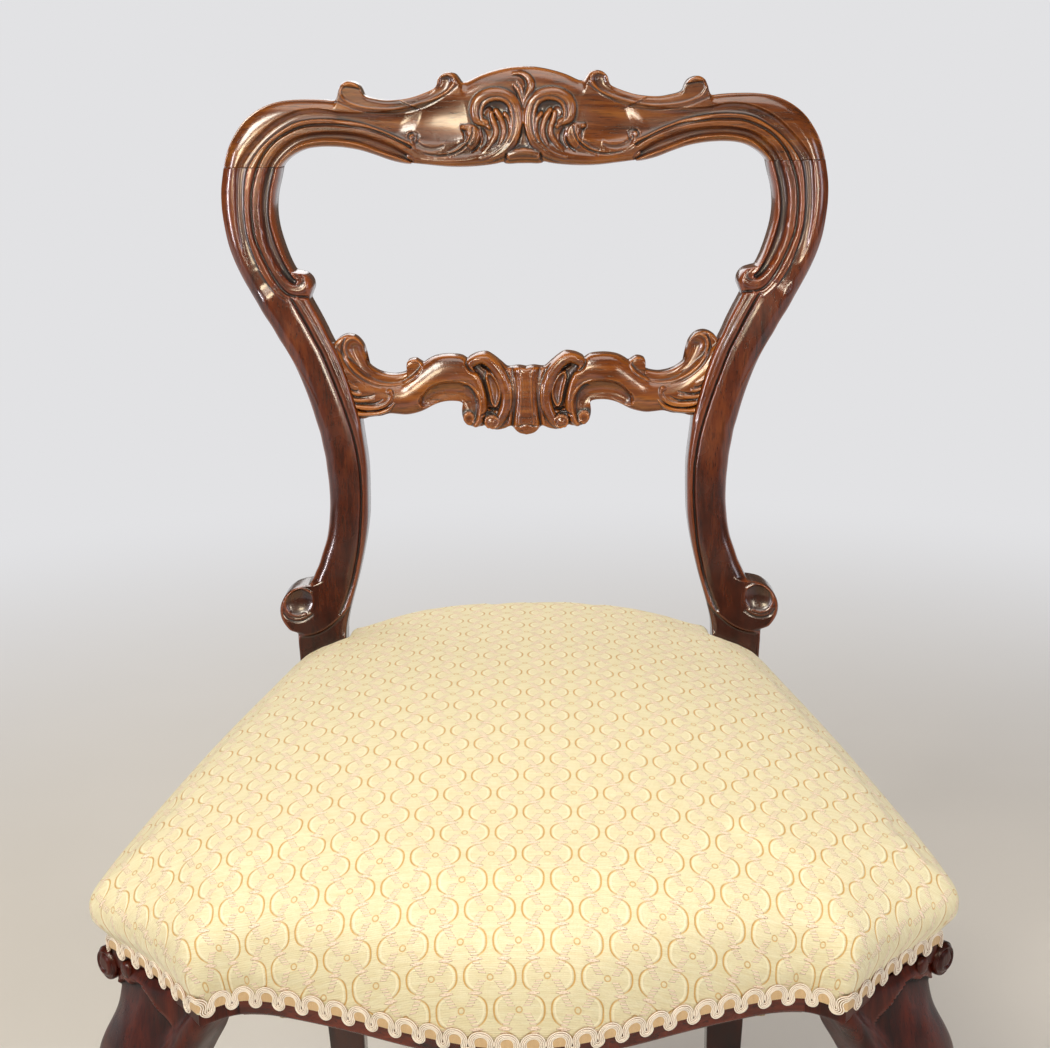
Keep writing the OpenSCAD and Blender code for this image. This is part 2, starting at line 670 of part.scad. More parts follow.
module spring(x, y) {
    steps = spring_turns * spring_steps;
    nudge = nudge_share / steps;
    color("silver") seated() translate([x, y, 0])
        loft([for (k = [0:steps])
            let (s = k / steps, ahead = unit(spring_point(s + nudge) - spring_point(s - nudge)))
            tube_ring(spring_point(s), ahead, wire_r, spring_sides)]);
}

// Half of the seat's outline from the middle of the front to the middle of
// the back: place, whether it swells there, height of the cover's edge, and
// the place that the rounder crown draws it to. The outline steps in round
// the rear leg.
rear_clear = .8;
// Drop of the cover's edge behind the braid, and the step at its tucked corners
hem_drop = 4;
tuck_step = 6;
back_face_y = rear_y + back_rail_set + back_rail_t + play;
notch_x = rear_in - rear_clear - play - cover_t;
notch_y = rear_y - rear_clear - play - cover_t - tuck_step;
// Where the cover is cut round the rear leg, its edge is tucked in above the rails
tuck_z = rail_top_z + hem_drop + canvas_t + 2 * play;
crown_in = 9;
side_steps = 4;
back_steps = 3;
braid_corner_z = gimp_z + corner_rise;
back_braid_z = gimp_z + corner_rise / 2;

front_points = [for (k = [0:front_steps]) let (s = k / front_steps)
    [vee_x * s, front_y(s), 1, braid_front_z(s)]];
cant_points = [for (k = [1:cant_steps - 1]) let (s = k / cant_steps, p = cant_point(s))
    [p[0], p[1], 1, mix(braid_front_z(1), braid_corner_z, sin(90 * s))]];
side_points = [for (k = [0:side_steps]) let (s = k / side_steps, y = mix(corner_y, notch_y, s))
    [side_x(y), y, 1 - pow(s, 6), mix(braid_corner_z, back_braid_z, ease(s * 2))]];
notch_points = [[side_x(notch_y), notch_y + tuck_step, 0, tuck_z],
    [notch_x, notch_y + tuck_step, 0, tuck_z], [notch_x, back_face_y, 0, tuck_z]];
back_swell_share = .3;
back_points = [for (k = [back_steps:-1:0])
    [(notch_x - tuck_step) * k / back_steps, back_face_y, k == back_steps ? 0 : back_swell_share,
     back_braid_z]];
half_plan = concat(front_points, cant_points, side_points, notch_points, back_points);
plan = concat(half_plan, [for (k = [len(half_plan) - 2:-1:1]) let (p = half_plan[k])
    [-p[0], p[1], p[2], p[3]]]);
plan_n = len(plan);

function flat(p) = [p[0], p[1]];
function plan_out(i) =
    let (a = flat(plan[(i + plan_n - 1) % plan_n]), b = flat(plan[i]),
         c = flat(plan[(i + 1) % plan_n]), d = unit(unit(b - a) + unit(c - b)))
    [d[1], -d[0]];
plan_outs = [for (i = [0:plan_n - 1]) plan_out(i)];
centre_set = 6;
crown_centre = [0, centre_set];

// Height of the crown over a place
front_fall = 34;
back_fall = 7;
side_fall = 38;
dome_set = 20;
function crown_z(p) =
    let (y = p[1] - dome_set,
         ends = y < 0 ? front_fall * pow(y / (vee_y - dome_set), 2.2)
                      : back_fall * pow(y / (rear_y - dome_set), 2),
         half = side_x(clamp01((p[1] - corner_y) / seat_len) * seat_len + corner_y))
    seat_top_z - ends - side_fall * pow(abs(p[0]) / half, 2.4);

// Rings of the stuffed seat from its edge to the crown: swell, share of the
// height above the braid, scale about the crown's centre, and how far the plan
// is rounded. The first ring is the cover's edge behind the braid.
seat_rows = [[0, -1, 1, 0], [0, 0, 1, 0], [.7, .2, 1, 0], [1, .45, 1, 0], [.6, .7, 1, 0],
    [-.6, .86, .995, .05], [-2.6, .95, .985, .15], [-3, 1, .9, .6], [-3, 1, .76, 1],
    [-2, 1, .57, 1], [0, 1, .33, 1]];
// The shares of the height over which the thickness turns from sideways to up
turn_share = .5;
far_round_share = .94;
function rounder(i) =
    let (p = plan[i], far = p[1] > notch_y - crown_in)
    far ? [p[0] * far_round_share,
           min(p[1], back_face_y - crown_in * 2 * pow(p[0] / notch_x, 2))]
        : [p[0], p[1]];
// A point of the seat's surface, drawn in by a thickness
function seat_point(i, r, thick) =
    let (p = plan[i], up = ease((r[1] - turn_share) / (1 - turn_share)),
         base = mix(flat(p), rounder(i), r[3])
                + plan_outs[i] * (r[0] * swell * p[2] + play - thick * (1 - up * up)),
         at = crown_centre + (base - crown_centre) * r[2])
    [at[0], at[1], r[1] < 0 ? p[3] - hem_drop : mix(braid_top(p), crown_z(at) - thick * up, r[1])];
function braid_top(p) = p[3] + gimp_w / 2 + play;
function seat_ring(r, thick) = [for (i = [0:plan_n - 1]) seat_point(i, r, thick)];
function crown_tip(thick) = [crown_centre[0], crown_centre[1], crown_z(crown_centre) - thick];

module seat_cover() {
    color("lemonchiffon") seated()
        loft(concat([for (k = [len(seat_rows) - 1:-1:0]) seat_ring(seat_rows[k], 0)],
                    [for (r = seat_rows) seat_ring(r, -cover_t)]),
             crown_tip(0), crown_tip(-cover_t), len(seat_rows));
}

// The canvas lies on the rails' tops and rises over the springs
canvas_in = 5;
canvas_rows = [[1, 0], [.93, 0], [.82, .45], [.7, .9], [.55, 1]];
function canvas_point(i, r, lift) =
    let (base = flat(plan[i]) - plan_outs[i] * canvas_in,
         at = crown_centre + (base - crown_centre) * r[0])
    [at[0], at[1], rail_top_z + glue + canvas_rise * r[1] + lift];
function canvas_ring(r, lift) = [for (i = [0:plan_n - 1]) canvas_point(i, r, lift)];
function canvas_tip(lift) = [crown_centre[0], crown_centre[1], rail_top_z + glue + canvas_rise + lift];

module spring_canvas() {
    color("tan") seated()
        loft(concat([for (k = [len(canvas_rows) - 1:-1:0]) canvas_ring(canvas_rows[k], 0)],
                    [for (r = canvas_rows) canvas_ring(r, canvas_t)]),
             canvas_tip(0), canvas_tip(canvas_t), len(canvas_rows));
}

// A ring's row between two of the seat's rows, by its share of the height
function row_at(share) = [for (k = [0:3])
    lookup(share, [for (j = [1:seat_side_rows]) [seat_rows[j][1], seat_rows[j][k]]])];
seat_side_rows = 6;

// The stuffing fills the space between the canvas and the cover
module stuffing() {
    under = canvas_t + play;
    floor_z = rail_top_z + glue + under;
    // Its lowest ring on the cover lies where the cover passes the canvas
    first = 4;
    low_ring = [for (i = [0:plan_n - 1])
        let (low = braid_top(plan[i]), top = crown_z(flat(plan[i])))
        seat_point(i, row_at(max(seat_rows[first][1], (floor_z - low) / (top - low))), play)];
    color("wheat") seated()
        loft(concat([for (k = [len(canvas_rows) - 1:-1:0]) canvas_ring(canvas_rows[k], under)],
                    [low_ring],
                    [for (k = [first + 1:len(seat_rows) - 1]) seat_ring(seat_rows[k], play)]),
             canvas_tip(under), crown_tip(play), len(canvas_rows));
}

// BRAID

function gimp_section(p, o, inner) = let (near = play * 2 + cover_t + inner)
    [for (q = [[0, -1], [0, 1], [1, 1], [1, -1]])
        [p[0] + o[0] * (near + q[0] * gimp_t), p[1] + o[1] * (near + q[0] * gimp_t),
         p[3] + q[1] * gimp_w / 2]];
gimp_last = front_steps + cant_steps + side_steps;
module gimp_front() {
    stop_y = rear_y - rear_clear;
    right = concat([for (i = [0:gimp_last]) gimp_section(plan[i], plan_outs[i], 0)],
                   [gimp_section([side_x(stop_y), stop_y, 1, back_braid_z],
                                 plan_outs[gimp_last - 1], 0)]);
    color("ivory") seated()
        loft(concat([for (k = [len(right) - 1:-1:1]) flip_ring(right[k])], right));
}
function flip_ring(ring) = [for (p = ring) flip_x(p)];
module gimp_back() {
    reach = notch_x;
    y = back_face_y + cover_t + play * 2;
    color("ivory") seated()
        translate([-reach, y, back_braid_z - gimp_w / 2]) cube([2 * reach, gimp_t, gimp_w]);
}

// PLACING

// The overall depth runs from the middle of the seat's front to the back of
// the crest, and its middle is set over the origin
seat_front_y = front_y(0) - play - cover_t - max(swell, play + gimp_t);
crest_back_y = max([for (r = curve(crest_shares, 2)) for (p = crest_ring(r, false)) p[1]]);
shift_y = -(seat_front_y + crest_back_y) / 2;
module seated() {
    translate([0, shift_y, 0]) children();
}
module left() {
    mirror([1, 0, 0]) children();
}

module spring_front_left() { spring(-spring_x, spring_front_y); }
module spring_front_right() { spring(spring_x, spring_front_y); }
module spring_centre() { spring(0, (spring_front_y + spring_rear_y) / 2); }
module spring_rear_left() { spring(-spring_x, spring_rear_y); }
module spring_rear_right() { spring(spring_x, spring_rear_y); }
module stile_right() { color("maroon") seated() stile(); }
module stile_left() { color("maroon") seated() left() stile(); }
module front_leg_right() { color("maroon") seated() front_leg(); }
module front_leg_left() { color("maroon") seated() left() front_leg(); }
module side_rail_right() { color("saddlebrown") seated() side_rail(); }
module side_rail_left() { color("saddlebrown") seated() left() side_rail(); }
module crest_dowels() { color("burlywood") seated() both() crest_dowel_pair(); }
module mid_rail_dowels() { color("burlywood") seated() both() mid_dowel(); }
module front_rail_dowels() { color("burlywood") seated() both() front_dowels(); }
module side_rail_dowels() {
    color("burlywood") seated() both() {
        side_dowels_front();
        side_dowels_rear();
    }
}
module back_rail_dowels() { color("burlywood") seated() both() back_dowel_pair(); }
module block_front_right() { color("peru") seated() block_front(); }
module block_front_left() { color("peru") seated() left() block_front(); }
module block_rear_right() { color("peru") seated() block_rear(); }
module block_rear_left() { color("peru") seated() left() block_rear(); }
module block_screws() {
    color("dimgray") seated() both() {
        front_block_screws();
        rear_block_screws();
    }
}

crest_rail();
stile_left();
stile_right();
mid_rail();
crest_dowels();
mid_rail_dowels();
front_leg_left();
front_leg_right();
front_rail();
side_rail_left();
side_rail_right();
back_rail();
front_rail_dowels();
side_rail_dowels();
back_rail_dowels();
block_front_left();
block_front_right();
block_rear_left();
block_rear_right();
block_screws();
webbing_lengthwise();
webbing_crosswise();
spring_front_left();
spring_front_right();
spring_centre();
spring_rear_left();
spring_rear_right();
spring_canvas();
stuffing();
seat_cover();
gimp_front();
gimp_back();
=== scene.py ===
import math

import bmesh
import bpy
import numpy as np
from mathutils import Matrix, Vector
from mathutils.bvhtree import BVHTree
from mathutils.interpolate import poly_3d_calc


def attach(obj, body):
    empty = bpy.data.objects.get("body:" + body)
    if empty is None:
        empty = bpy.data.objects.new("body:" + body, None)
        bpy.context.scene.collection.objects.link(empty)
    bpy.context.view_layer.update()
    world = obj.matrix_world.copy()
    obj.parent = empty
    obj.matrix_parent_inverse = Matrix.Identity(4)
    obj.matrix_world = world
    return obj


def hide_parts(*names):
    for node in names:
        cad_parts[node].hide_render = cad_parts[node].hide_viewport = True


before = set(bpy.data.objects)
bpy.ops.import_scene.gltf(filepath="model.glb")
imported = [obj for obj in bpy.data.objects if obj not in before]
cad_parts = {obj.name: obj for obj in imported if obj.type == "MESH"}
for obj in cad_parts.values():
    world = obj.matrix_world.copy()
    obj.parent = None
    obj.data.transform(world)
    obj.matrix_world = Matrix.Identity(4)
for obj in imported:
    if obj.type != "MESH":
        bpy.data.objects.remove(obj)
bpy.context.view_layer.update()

# Lengths are millimetres in the seat's own frame until a mesh is made. The
# drawing's middle is then set over the origin.
MM = 0.001
SHIFT_Y = -30.4623


def ease(t):
    c = np.clip(t, 0, 1)
    return c * c * (3 - 2 * c)


def mix(a, b, t):
    return a + (b - a) * t


def unit(v):
    v = np.asarray(v, float)
    return v / np.maximum(np.linalg.norm(v, axis=-1, keepdims=True), 1e-9)


def smooth_rows(rows, steps):
    """A smooth curve through rows of numbers, with steps between two rows."""
    p = np.asarray(rows, float)
    n = len(p) - 1
    out = []
    for i in range(n):
        a, b, c, d = p[max(i - 1, 0)], p[i], p[i + 1], p[min(i + 2, n)]
        for j in range(steps):
            t = j / steps
            out.append((2 * b + (c - a) * t + (2 * a - 5 * b + 4 * c - d) * t * t
                        + (3 * b - a - 3 * c + d) * t ** 3) / 2)
    out.append(p[n])
    return np.array(out)


# MESHES


def new_object(name, points, faces):
    v = np.asarray(points, float).reshape(-1, 3) * MM
    v[:, 1] += SHIFT_Y * MM
    mesh = bpy.data.meshes.new(name)
    mesh.from_pydata(v.tolist(), [], faces)
    mesh.polygons.foreach_set("use_smooth", [True] * len(mesh.polygons))
    mesh.update()
    obj = bpy.data.objects.new(name, mesh)
    bpy.context.scene.collection.objects.link(obj)
    return obj


def grid_faces(m, n, wrap_n=False, base=0, flip=False):
    """Quads over m rows of n points."""
    i, j = np.meshgrid(np.arange(m - 1), np.arange(n if wrap_n else n - 1), indexing="ij")
    k = (j + 1) % n
    q = np.stack([i * n + j, i * n + k, (i + 1) * n + k, (i + 1) * n + j], -1).reshape(-1, 4) + base
    return (q[:, ::-1] if flip else q).tolist()


def point_layer(obj, name, values):
    layer = obj.data.attributes.new(name, "FLOAT", "POINT")
    layer.data.foreach_set("value", np.asarray(values, np.float32).ravel())


def fetch(items, key, wide=3, kind=float):
    """One property of every item, in rows."""
    out = np.zeros(len(items) * wide, kind)
    items.foreach_get(key, out)
    return out.reshape(-1, wide)


def face_outward(mesh):
    bm = bmesh.new()
    bm.from_mesh(mesh)
    bmesh.ops.recalc_face_normals(bm, faces=bm.faces)
    bm.to_mesh(mesh)
    bm.free()


def declare(obj, look, slot, *nodes):
    """Gives a piece its look, sets it under the root, and hides the parts of the drawing it stands in for."""
    obj.data.materials.append(look)
    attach(obj, "root")
    if nodes:
        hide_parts(*nodes)
    return obj


# MATERIALS


class Value:
    """A number in a material, open to plain arithmetic."""

    def __init__(self, nodes, socket):
        self.nodes, self.socket = nodes, socket

    def __abs__(self):
        return self.nodes.math("ABSOLUTE", self)


for sign, word in (("add", "ADD"), ("sub", "SUBTRACT"), ("mul", "MULTIPLY"), ("truediv", "DIVIDE"), ("pow", "POWER")):
    setattr(Value, f"__{sign}__", lambda a, b, word=word: a.nodes.math(word, a, b))


class Nodes:
    """The nodes of one material, or of the world."""

    def __init__(self, name, world=False):
        self.mat = (bpy.data.worlds if world else bpy.data.materials).new(name)
        self.mat.use_nodes = True
        self.tree = self.mat.node_tree
        self.shader = self.tree.nodes["Background" if world else "Principled BSDF"]

    def add(self, kind, **inputs):
        node = self.tree.nodes.new(kind)
        for key, value in inputs.items():
            if key in node.bl_rna.properties:
                setattr(node, key, value)
            else:
                self.put(node, key, value)
        return node

    def put(self, node, key, value):
        """Links or sets one input, named or given as _ and its number."""
        socket = node.inputs[int(key[1:])] if key[0] == "_" else node.inputs[key]
        if isinstance(value, Value):
            value = value.socket
        if isinstance(value, bpy.types.NodeSocket):
            self.tree.links.new(value, socket)
        else:
            socket.default_value = value

    def value(self, kind, out=0, **inputs):
        return Value(self, self.add(kind, **inputs).outputs[out])

    def math(self, operation, a, b=0.0):
        return self.value("ShaderNodeMath", operation=operation, _0=a, _1=b)

    def ramp(self, factor, stops):
        node = self.add("ShaderNodeValToRGB", Fac=factor)
        band = node.color_ramp
        while len(band.elements) < len(stops):
            band.elements.new(0.5)
        for element, (at, colour) in zip(band.elements, stops):
            element.position = at
            element.color = (*colour, 1)
        return node.outputs[0]

    def level(self, value, low, high, to_low=0.0, to_high=1.0, smooth=False):
        return self.value("ShaderNodeMapRange", interpolation_type="SMOOTHSTEP" if smooth else "LINEAR",
                          _0=value, _1=low, _2=high, _3=to_low, _4=to_high)

    def blend(self, factor, a, b, kind="MIX"):
        """A mix of two colours, each a socket or a plain colour."""
        a, b = ((*c, 1) if isinstance(c, tuple) else c for c in (a, b))
        return self.add("ShaderNodeMix", data_type="RGBA", blend_type=kind, _0=factor, _6=a, _7=b).outputs[2]

    def place(self, scale=(1, 1, 1)):
        at = self.add("ShaderNodeTexCoord").outputs["Object"]
        return self.add("ShaderNodeMapping", Vector=at, Scale=scale).outputs[0]

    def axes(self, vector=None):
        if vector is None:
            vector = self.add("ShaderNodeTexCoord").outputs["Object"]
        return [Value(self, out) for out in self.add("ShaderNodeSeparateXYZ", Vector=vector).outputs]

    def mark(self, name):
        return self.value("ShaderNodeAttribute", "Fac", attribute_name=name)

    def noise(self, at, scale, detail=3.0, rough=0.5, warp=0.0):
        return self.value("ShaderNodeTexNoise", Vector=at, Scale=scale, Detail=detail, Roughness=rough,
                          Distortion=warp)

    def bump(self, height, strength, distance):
        return self.add("ShaderNodeBump", Height=height, Strength=strength, Distance=distance).outputs[0]

    def finish(self, **sockets):
        for key, value in sockets.items():
            self.put(self.shader, key.replace("_", " "), value)
        return self.mat


def srgb(r, g, b):
    def one(c):
        c = c / 255
        return c / 12.92 if c <= 0.04045 else ((c + 0.055) / 1.055) ** 2.4
    return one(r), one(g), one(b)


def rosewood(name, stretch, dark, mid, light, gloss=0.22, coat=0.55, shine=0.5, low=None):
    """French-polished rosewood, its streaks long in the direction where stretch is small."""
    n = Nodes(name)
    at = n.place(stretch)
    drift = n.noise(n.place(tuple(s * 0.6 for s in stretch)), 9.0, 2.0)
    drift = n.add("ShaderNodeCombineXYZ", _0=drift, _1=drift, _2=drift).outputs[0]
    drift = n.add("ShaderNodeVectorMath", operation="SCALE", _0=drift, Scale=0.05).outputs[0]
    moved = n.add("ShaderNodeVectorMath", operation="ADD", _0=at, _1=drift).outputs[0]
    bands = n.noise(moved, 70.0, 4.0, 0.6, 0.4)
    streaks = n.noise(moved, 300.0, 3.0, 0.6)
    pores = n.noise(n.place(tuple(s * (1.0 if s > 0.5 else 0.6) for s in stretch)), 900.0, 2.0, 0.6)
    tone = bands * 0.65 + streaks * 0.35
    colour = n.ramp(tone, [(0.34, dark), (0.5, mid), (0.66, light)])
    lines = n.level(streaks, 0.57, 0.7, 0.0, 0.5, smooth=True)
    colour = n.blend(lines, colour, tuple(c * 0.5 for c in dark))
    pits = n.level(pores, 0.57, 0.68, 0.0, 0.6, smooth=True)
    colour = n.blend(pits, colour, tuple(c * 0.4 for c in dark))
    if low:
        # Darker towards the floor
        height = n.axes()[2]
        colour = n.blend(n.level(height, *low, 1.0, 0.0, smooth=True), colour, (0.36, 0.27, 0.24),
                         "MULTIPLY")
    # Painted shade darkens the hollows nearly to black, together with the polish that gathers there
    hollow = n.mark("hollow_shade")
    colour = n.blend(hollow * 0.95, colour, srgb(16, 6, 4))
    # Lighter on the ridges and edges of the carving
    pale_ridges = n.mark("pale_ridges")
    colour = n.blend(pale_ridges * 0.4, colour, tuple(min(1, c * 1.9) for c in light))
    smear = n.noise(n.place(), 28.0, 3.0)
    rough = n.level(smear, 0.3, 0.7, gloss - 0.05, gloss + 0.09) + hollow * 0.3
    dents = n.noise(n.place(), 120.0, 3.0, 0.55)
    height = smear * 0.25 + dents * 0.3 - pits * 0.3
    normal = n.bump(height, 0.35, 0.0006)
    return n.finish(Base_Color=colour, Roughness=rough, Normal=normal, Coat_Weight=coat,
                    Coat_Roughness=0.12, Specular_IOR_Level=shine)


def plain_wood(name, stretch, dark, light, rough=0.62, pore=0.35, stained=None):
    n = Nodes(name)
    at = n.place(stretch)
    bands = n.noise(at, 60.0, 4.0, 0.55, 0.3)
    fine = n.noise(at, 420.0, 3.0, 0.6)
    tone = bands * 0.6 + fine * 0.4
    colour = n.ramp(tone, [(0.34, dark), (0.66, light)])
    grime = n.noise(n.place(), 14.0, 4.0)
    colour = n.blend(n.level(grime, 0.5, 0.75, 0.0, 0.35), colour, tuple(c * 0.45 for c in dark))
    if stained is not None:
        # Only the outer face is stained
        turn = n.axes(n.add("ShaderNodeNewGeometry").outputs["Normal"])[stained]
        spot = n.axes()[stained]
        outer = n.level(turn * n.math("SIGN", spot), 0.3, 0.7)
        colour = n.blend(outer * 0.93, colour, srgb(52, 20, 11))
    normal = n.bump(fine, pore, 0.0005)
    return n.finish(Base_Color=colour, Roughness=n.level(fine, 0.3, 0.7, rough - 0.06, rough + 0.08),
                    Normal=normal)


along_x, along_y, along_z = (0.09, 1, 1), (1, 0.09, 1), (1, 1, 0.09)
crest_wood = rosewood("rosewood_crest", along_x, srgb(52, 21, 6), srgb(102, 50, 14), srgb(142, 84, 28))
stile_wood = rosewood("rosewood_stile", along_z, srgb(42, 14, 6), srgb(86, 34, 12), srgb(122, 60, 24), low=(0.42, 0.68))
mid_wood = rosewood("rosewood_middle", along_x, srgb(62, 26, 7), srgb(114, 56, 14), srgb(152, 90, 28))
leg_wood = rosewood("rosewood_leg", along_z, srgb(30, 8, 4), srgb(62, 18, 8), srgb(92, 32, 14), gloss=0.3, coat=0.1,
                    shine=0.2)
rail_wood = rosewood("rosewood_rail", along_x, srgb(42, 11, 5), srgb(86, 28, 11), srgb(118, 44, 19), coat=0.2,
                     shine=0.35)
beech_y = plain_wood("beech_side", along_y, srgb(150, 112, 72), srgb(196, 158, 112), stained=0)
beech_x = plain_wood("beech_back", along_x, srgb(150, 112, 72), srgb(196, 158, 112), stained=1)
beech_z = plain_wood("beech_block", along_z, srgb(158, 120, 80), srgb(202, 166, 120))
dowel_mat = plain_wood("dowel_birch", along_x, srgb(176, 142, 98), srgb(214, 184, 140))


def steel(name, base, rust):
    n = Nodes(name)
    spots = n.noise(n.place(), 160.0, 4.0)
    film = n.noise(n.place(), 900.0, 3.0)
    mask = n.level(spots, 0.52, 0.66, 0.0, 1.0, smooth=True)
    colour = n.blend(mask, base, rust)
    return n.finish(Base_Color=colour, Metallic=n.level(mask, 0, 1, 1.0, 0.25),
                    Roughness=n.level(film, 0.3, 0.7, 0.32, 0.5), Normal=n.bump(film, 0.15, 0.0002))


screw_mat = steel("steel_screw", srgb(150, 146, 140), srgb(98, 62, 40))
wire_mat = steel("steel_spring", srgb(120, 104, 88), srgb(104, 66, 40))


def woven(name, thread, light, dark):
    """A plain weave of threads across two axes of the object."""
    n = Nodes(name)
    a, b = (n.math("SINE", at * (math.pi / thread)) for at in n.axes()[:2])
    height = a * b * 0.35 + (abs(a) + abs(b)) * 0.4
    fuzz = n.noise(n.place(), 1500.0, 3.0)
    uneven = n.noise(n.place(), 90.0, 3.0)
    tone = height * 0.5 + (fuzz + uneven) * 0.32
    colour = n.blend(n.level(tone, 0.2, 1.0), dark, light)
    return n.finish(Base_Color=colour, Roughness=0.9, Sheen_Weight=0.15, Specular_IOR_Level=0.2,
                    Normal=n.bump(tone, 0.7, thread * 0.35))


web_mat = woven("webbing_flax", 0.0011, srgb(206, 184, 142), srgb(136, 112, 76))
canvas_mat = woven("spring_hessian", 0.0013, srgb(192, 158, 108), srgb(120, 90, 54))
hair_mat = woven("horsehair_pad", 0.0006, srgb(112, 86, 62), srgb(50, 36, 26))

dowels = [kind + "_dowels" for kind in ("crest", "mid_rail", "front_rail", "side_rail", "back_rail")]
blocks = ["block_" + corner for corner in ("front_left", "front_right", "rear_left", "rear_right")]
springs = ["spring_" + at for at in ("front_left", "front_right", "centre", "rear_left", "rear_right")]
node_looks = [(crest_wood, ["crest_rail"]), (stile_wood, ["stile_left", "stile_right"]), (mid_wood, ["mid_rail"]),
              (leg_wood, ["front_leg_left", "front_leg_right"]), (rail_wood, ["front_rail"]),
              (beech_y, ["side_rail_left", "side_rail_right"]), (beech_x, ["back_rail"]), (dowel_mat, dowels),
              (beech_z, blocks), (screw_mat, ["block_screws"]),
              (web_mat, ["webbing_lengthwise", "webbing_crosswise"]), (wire_mat, springs),
              (canvas_mat, ["spring_canvas"]), (hair_mat, ["stuffing"])]
for look, nodes in node_looks:
    for node in nodes:
        obj = bpy.data.objects[node] if node in bpy.data.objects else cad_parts[node]
        for slot in obj.material_slots:
            slot.material = look
        if not obj.material_slots:
            obj.data.materials.append(look)

# SEAT OUTLINE, as in the drawing

corner_y, rear_y, corner_x = -146.52, 186.48, 236.0
seat_len, rear_out, rear_in = 333.0, 174.0, 139.0
cant_x, cant_y = 62.0, 61.0
vee_x, vee_y = corner_x - cant_x, corner_y - cant_y
rail_low_z, rail_h, rail_t = 372.0, 50.0, 24.0
rail_top_z = rail_low_z + rail_h
seat_top_z, swell, play, cover_t = 489.0, 3.6, 0.3, 1.2
gimp_z, gimp_w, front_arch, corner_rise, front_bulge = 381.0, 12.5, 9.0, 11.0, 26.6
front_curve = smooth_rows([[0, 1], [.07, .99], [.16, .93], [.33, .63], [.5, .27], [.65, 0], [.8, -.23],
                           [.9, -.23], [1, 0]], 5)
arch_curve = smooth_rows([[0, 0], [.3, .3], [.5, .6], [.65, .85], [.8, 1], [.9, .95], [1, .6]], 5)


def front_y(s):
    return vee_y - front_bulge * np.interp(s, front_curve[:, 0], front_curve[:, 1])


def braid_front_z(s):
    return gimp_z + front_arch * np.interp(s, arch_curve[:, 0], arch_curve[:, 1])


def side_x(y):
    return mix(corner_x, rear_out, (y - corner_y) / seat_len)


cant_l = math.hypot(cant_x, cant_y)
along = np.array([cant_x, cant_y]) / cant_l
out_dir = np.array([along[1], -along[0]])


def cant_point(s):
    dent = 3 * math.sin(math.pi * s)
    return (vee_x + cant_x * s - out_dir[0] * dent, vee_y + cant_y * s - out_dir[1] * dent)


back_face_y = rear_y + 6 + 22 + play
notch_x = rear_in - 0.8 - play - cover_t
notch_y = rear_y - 0.8 - play - cover_t - 6
tuck_z = rail_top_z + 4 + 1.4 + 2 * play
braid_corner_z = gimp_z + corner_rise
back_braid_z = gimp_z + corner_rise / 2


plan_steps = (48, 12, 48, 6, 18)


def seat_plan(front, cant, side, notch, back):
    """Half the outline: x, y, swell, height of the cover's edge."""
    rows = []
    for k in range(front + 1):
        s = k / front
        rows.append((vee_x * s, front_y(s), 1, braid_front_z(s)))
    for k in range(1, cant):
        s = k / cant
        rows.append((*cant_point(s), 1, mix(braid_front_z(1), braid_corner_z, math.sin(math.pi / 2 * s))))
    for k in range(side + 1):
        s = k / side
        y = mix(corner_y, notch_y, s)
        rows.append((side_x(y), y, 1 - s ** 6, mix(braid_corner_z, back_braid_z, ease(s * 2))))
    turn = [(side_x(notch_y), notch_y + 6), (notch_x, notch_y + 6), (notch_x, back_face_y)]
    for k in range(1, notch + 1):
        s = k / notch
        rows.append((mix(turn[0][0], turn[1][0], s), turn[0][1], 0, tuck_z))
    for k in range(1, notch + 1):
        s = k / notch
        rows.append((notch_x, mix(turn[1][1], turn[2][1], s), 0, tuck_z))
    for k in range(back, -1, -1):
        rows.append(((notch_x - 6) * k / back, back_face_y, 0 if k == back else .3, back_braid_z))
    return np.array(rows, float)


def whole_plan(half):
    other = half[-2:0:-1].copy()
    other[:, 0] *= -1
    return np.vstack([half, other])


def plan_outs(plan):
    xy = plan[:, :2]
    d = unit(unit(xy - np.roll(xy, 1, 0)) + unit(np.roll(xy, -1, 0) - xy))
    return np.stack([d[:, 1], -d[:, 0]], 1)


crown_centre = np.array([0, 6.0])
crown_y, front_fall, rear_fall, side_fall = 20, 34, 7, 38


def crown_z(xy):
    """The height of the seat's top, which falls away to every side."""
    x, y = xy[..., 0], xy[..., 1] - crown_y
    ends = np.where(y < 0, front_fall * np.abs(y / (vee_y - crown_y)) ** 2.2, rear_fall * (y / (rear_y - crown_y)) ** 2)
    half = side_x(np.clip((xy[..., 1] - corner_y) / seat_len, 0, 1) * seat_len + corner_y)
    return seat_top_z - ends - side_fall * np.abs(x / half) ** 2.4


def seat_ring(plan, outs, row, thick=0.0):
    """One row of the cover round the seat, or of what lies that much under it."""
    push, share, scale, rounded = row
    up = ease((share - .5) / .5)
    far = plan[:, 1] > notch_y - 9
    round_x = np.where(far, plan[:, 0] * .94, plan[:, 0])
    round_y = np.where(far, np.minimum(plan[:, 1], back_face_y - 18 * (plan[:, 0] / notch_x) ** 2), plan[:, 1])
    base = mix(plan[:, :2], np.stack([round_x, round_y], 1), rounded)
    base = base + outs * (push * swell * plan[:, 2] + play - thick * (1 - up * up))[:, None]
    at = crown_centre + (base - crown_centre) * scale
    low = plan[:, 3] + gimp_w / 2 + play
    z = plan[:, 3] - 4 if share < 0 else mix(low, crown_z(at) - thick * up, share)
    return np.column_stack([at, z])


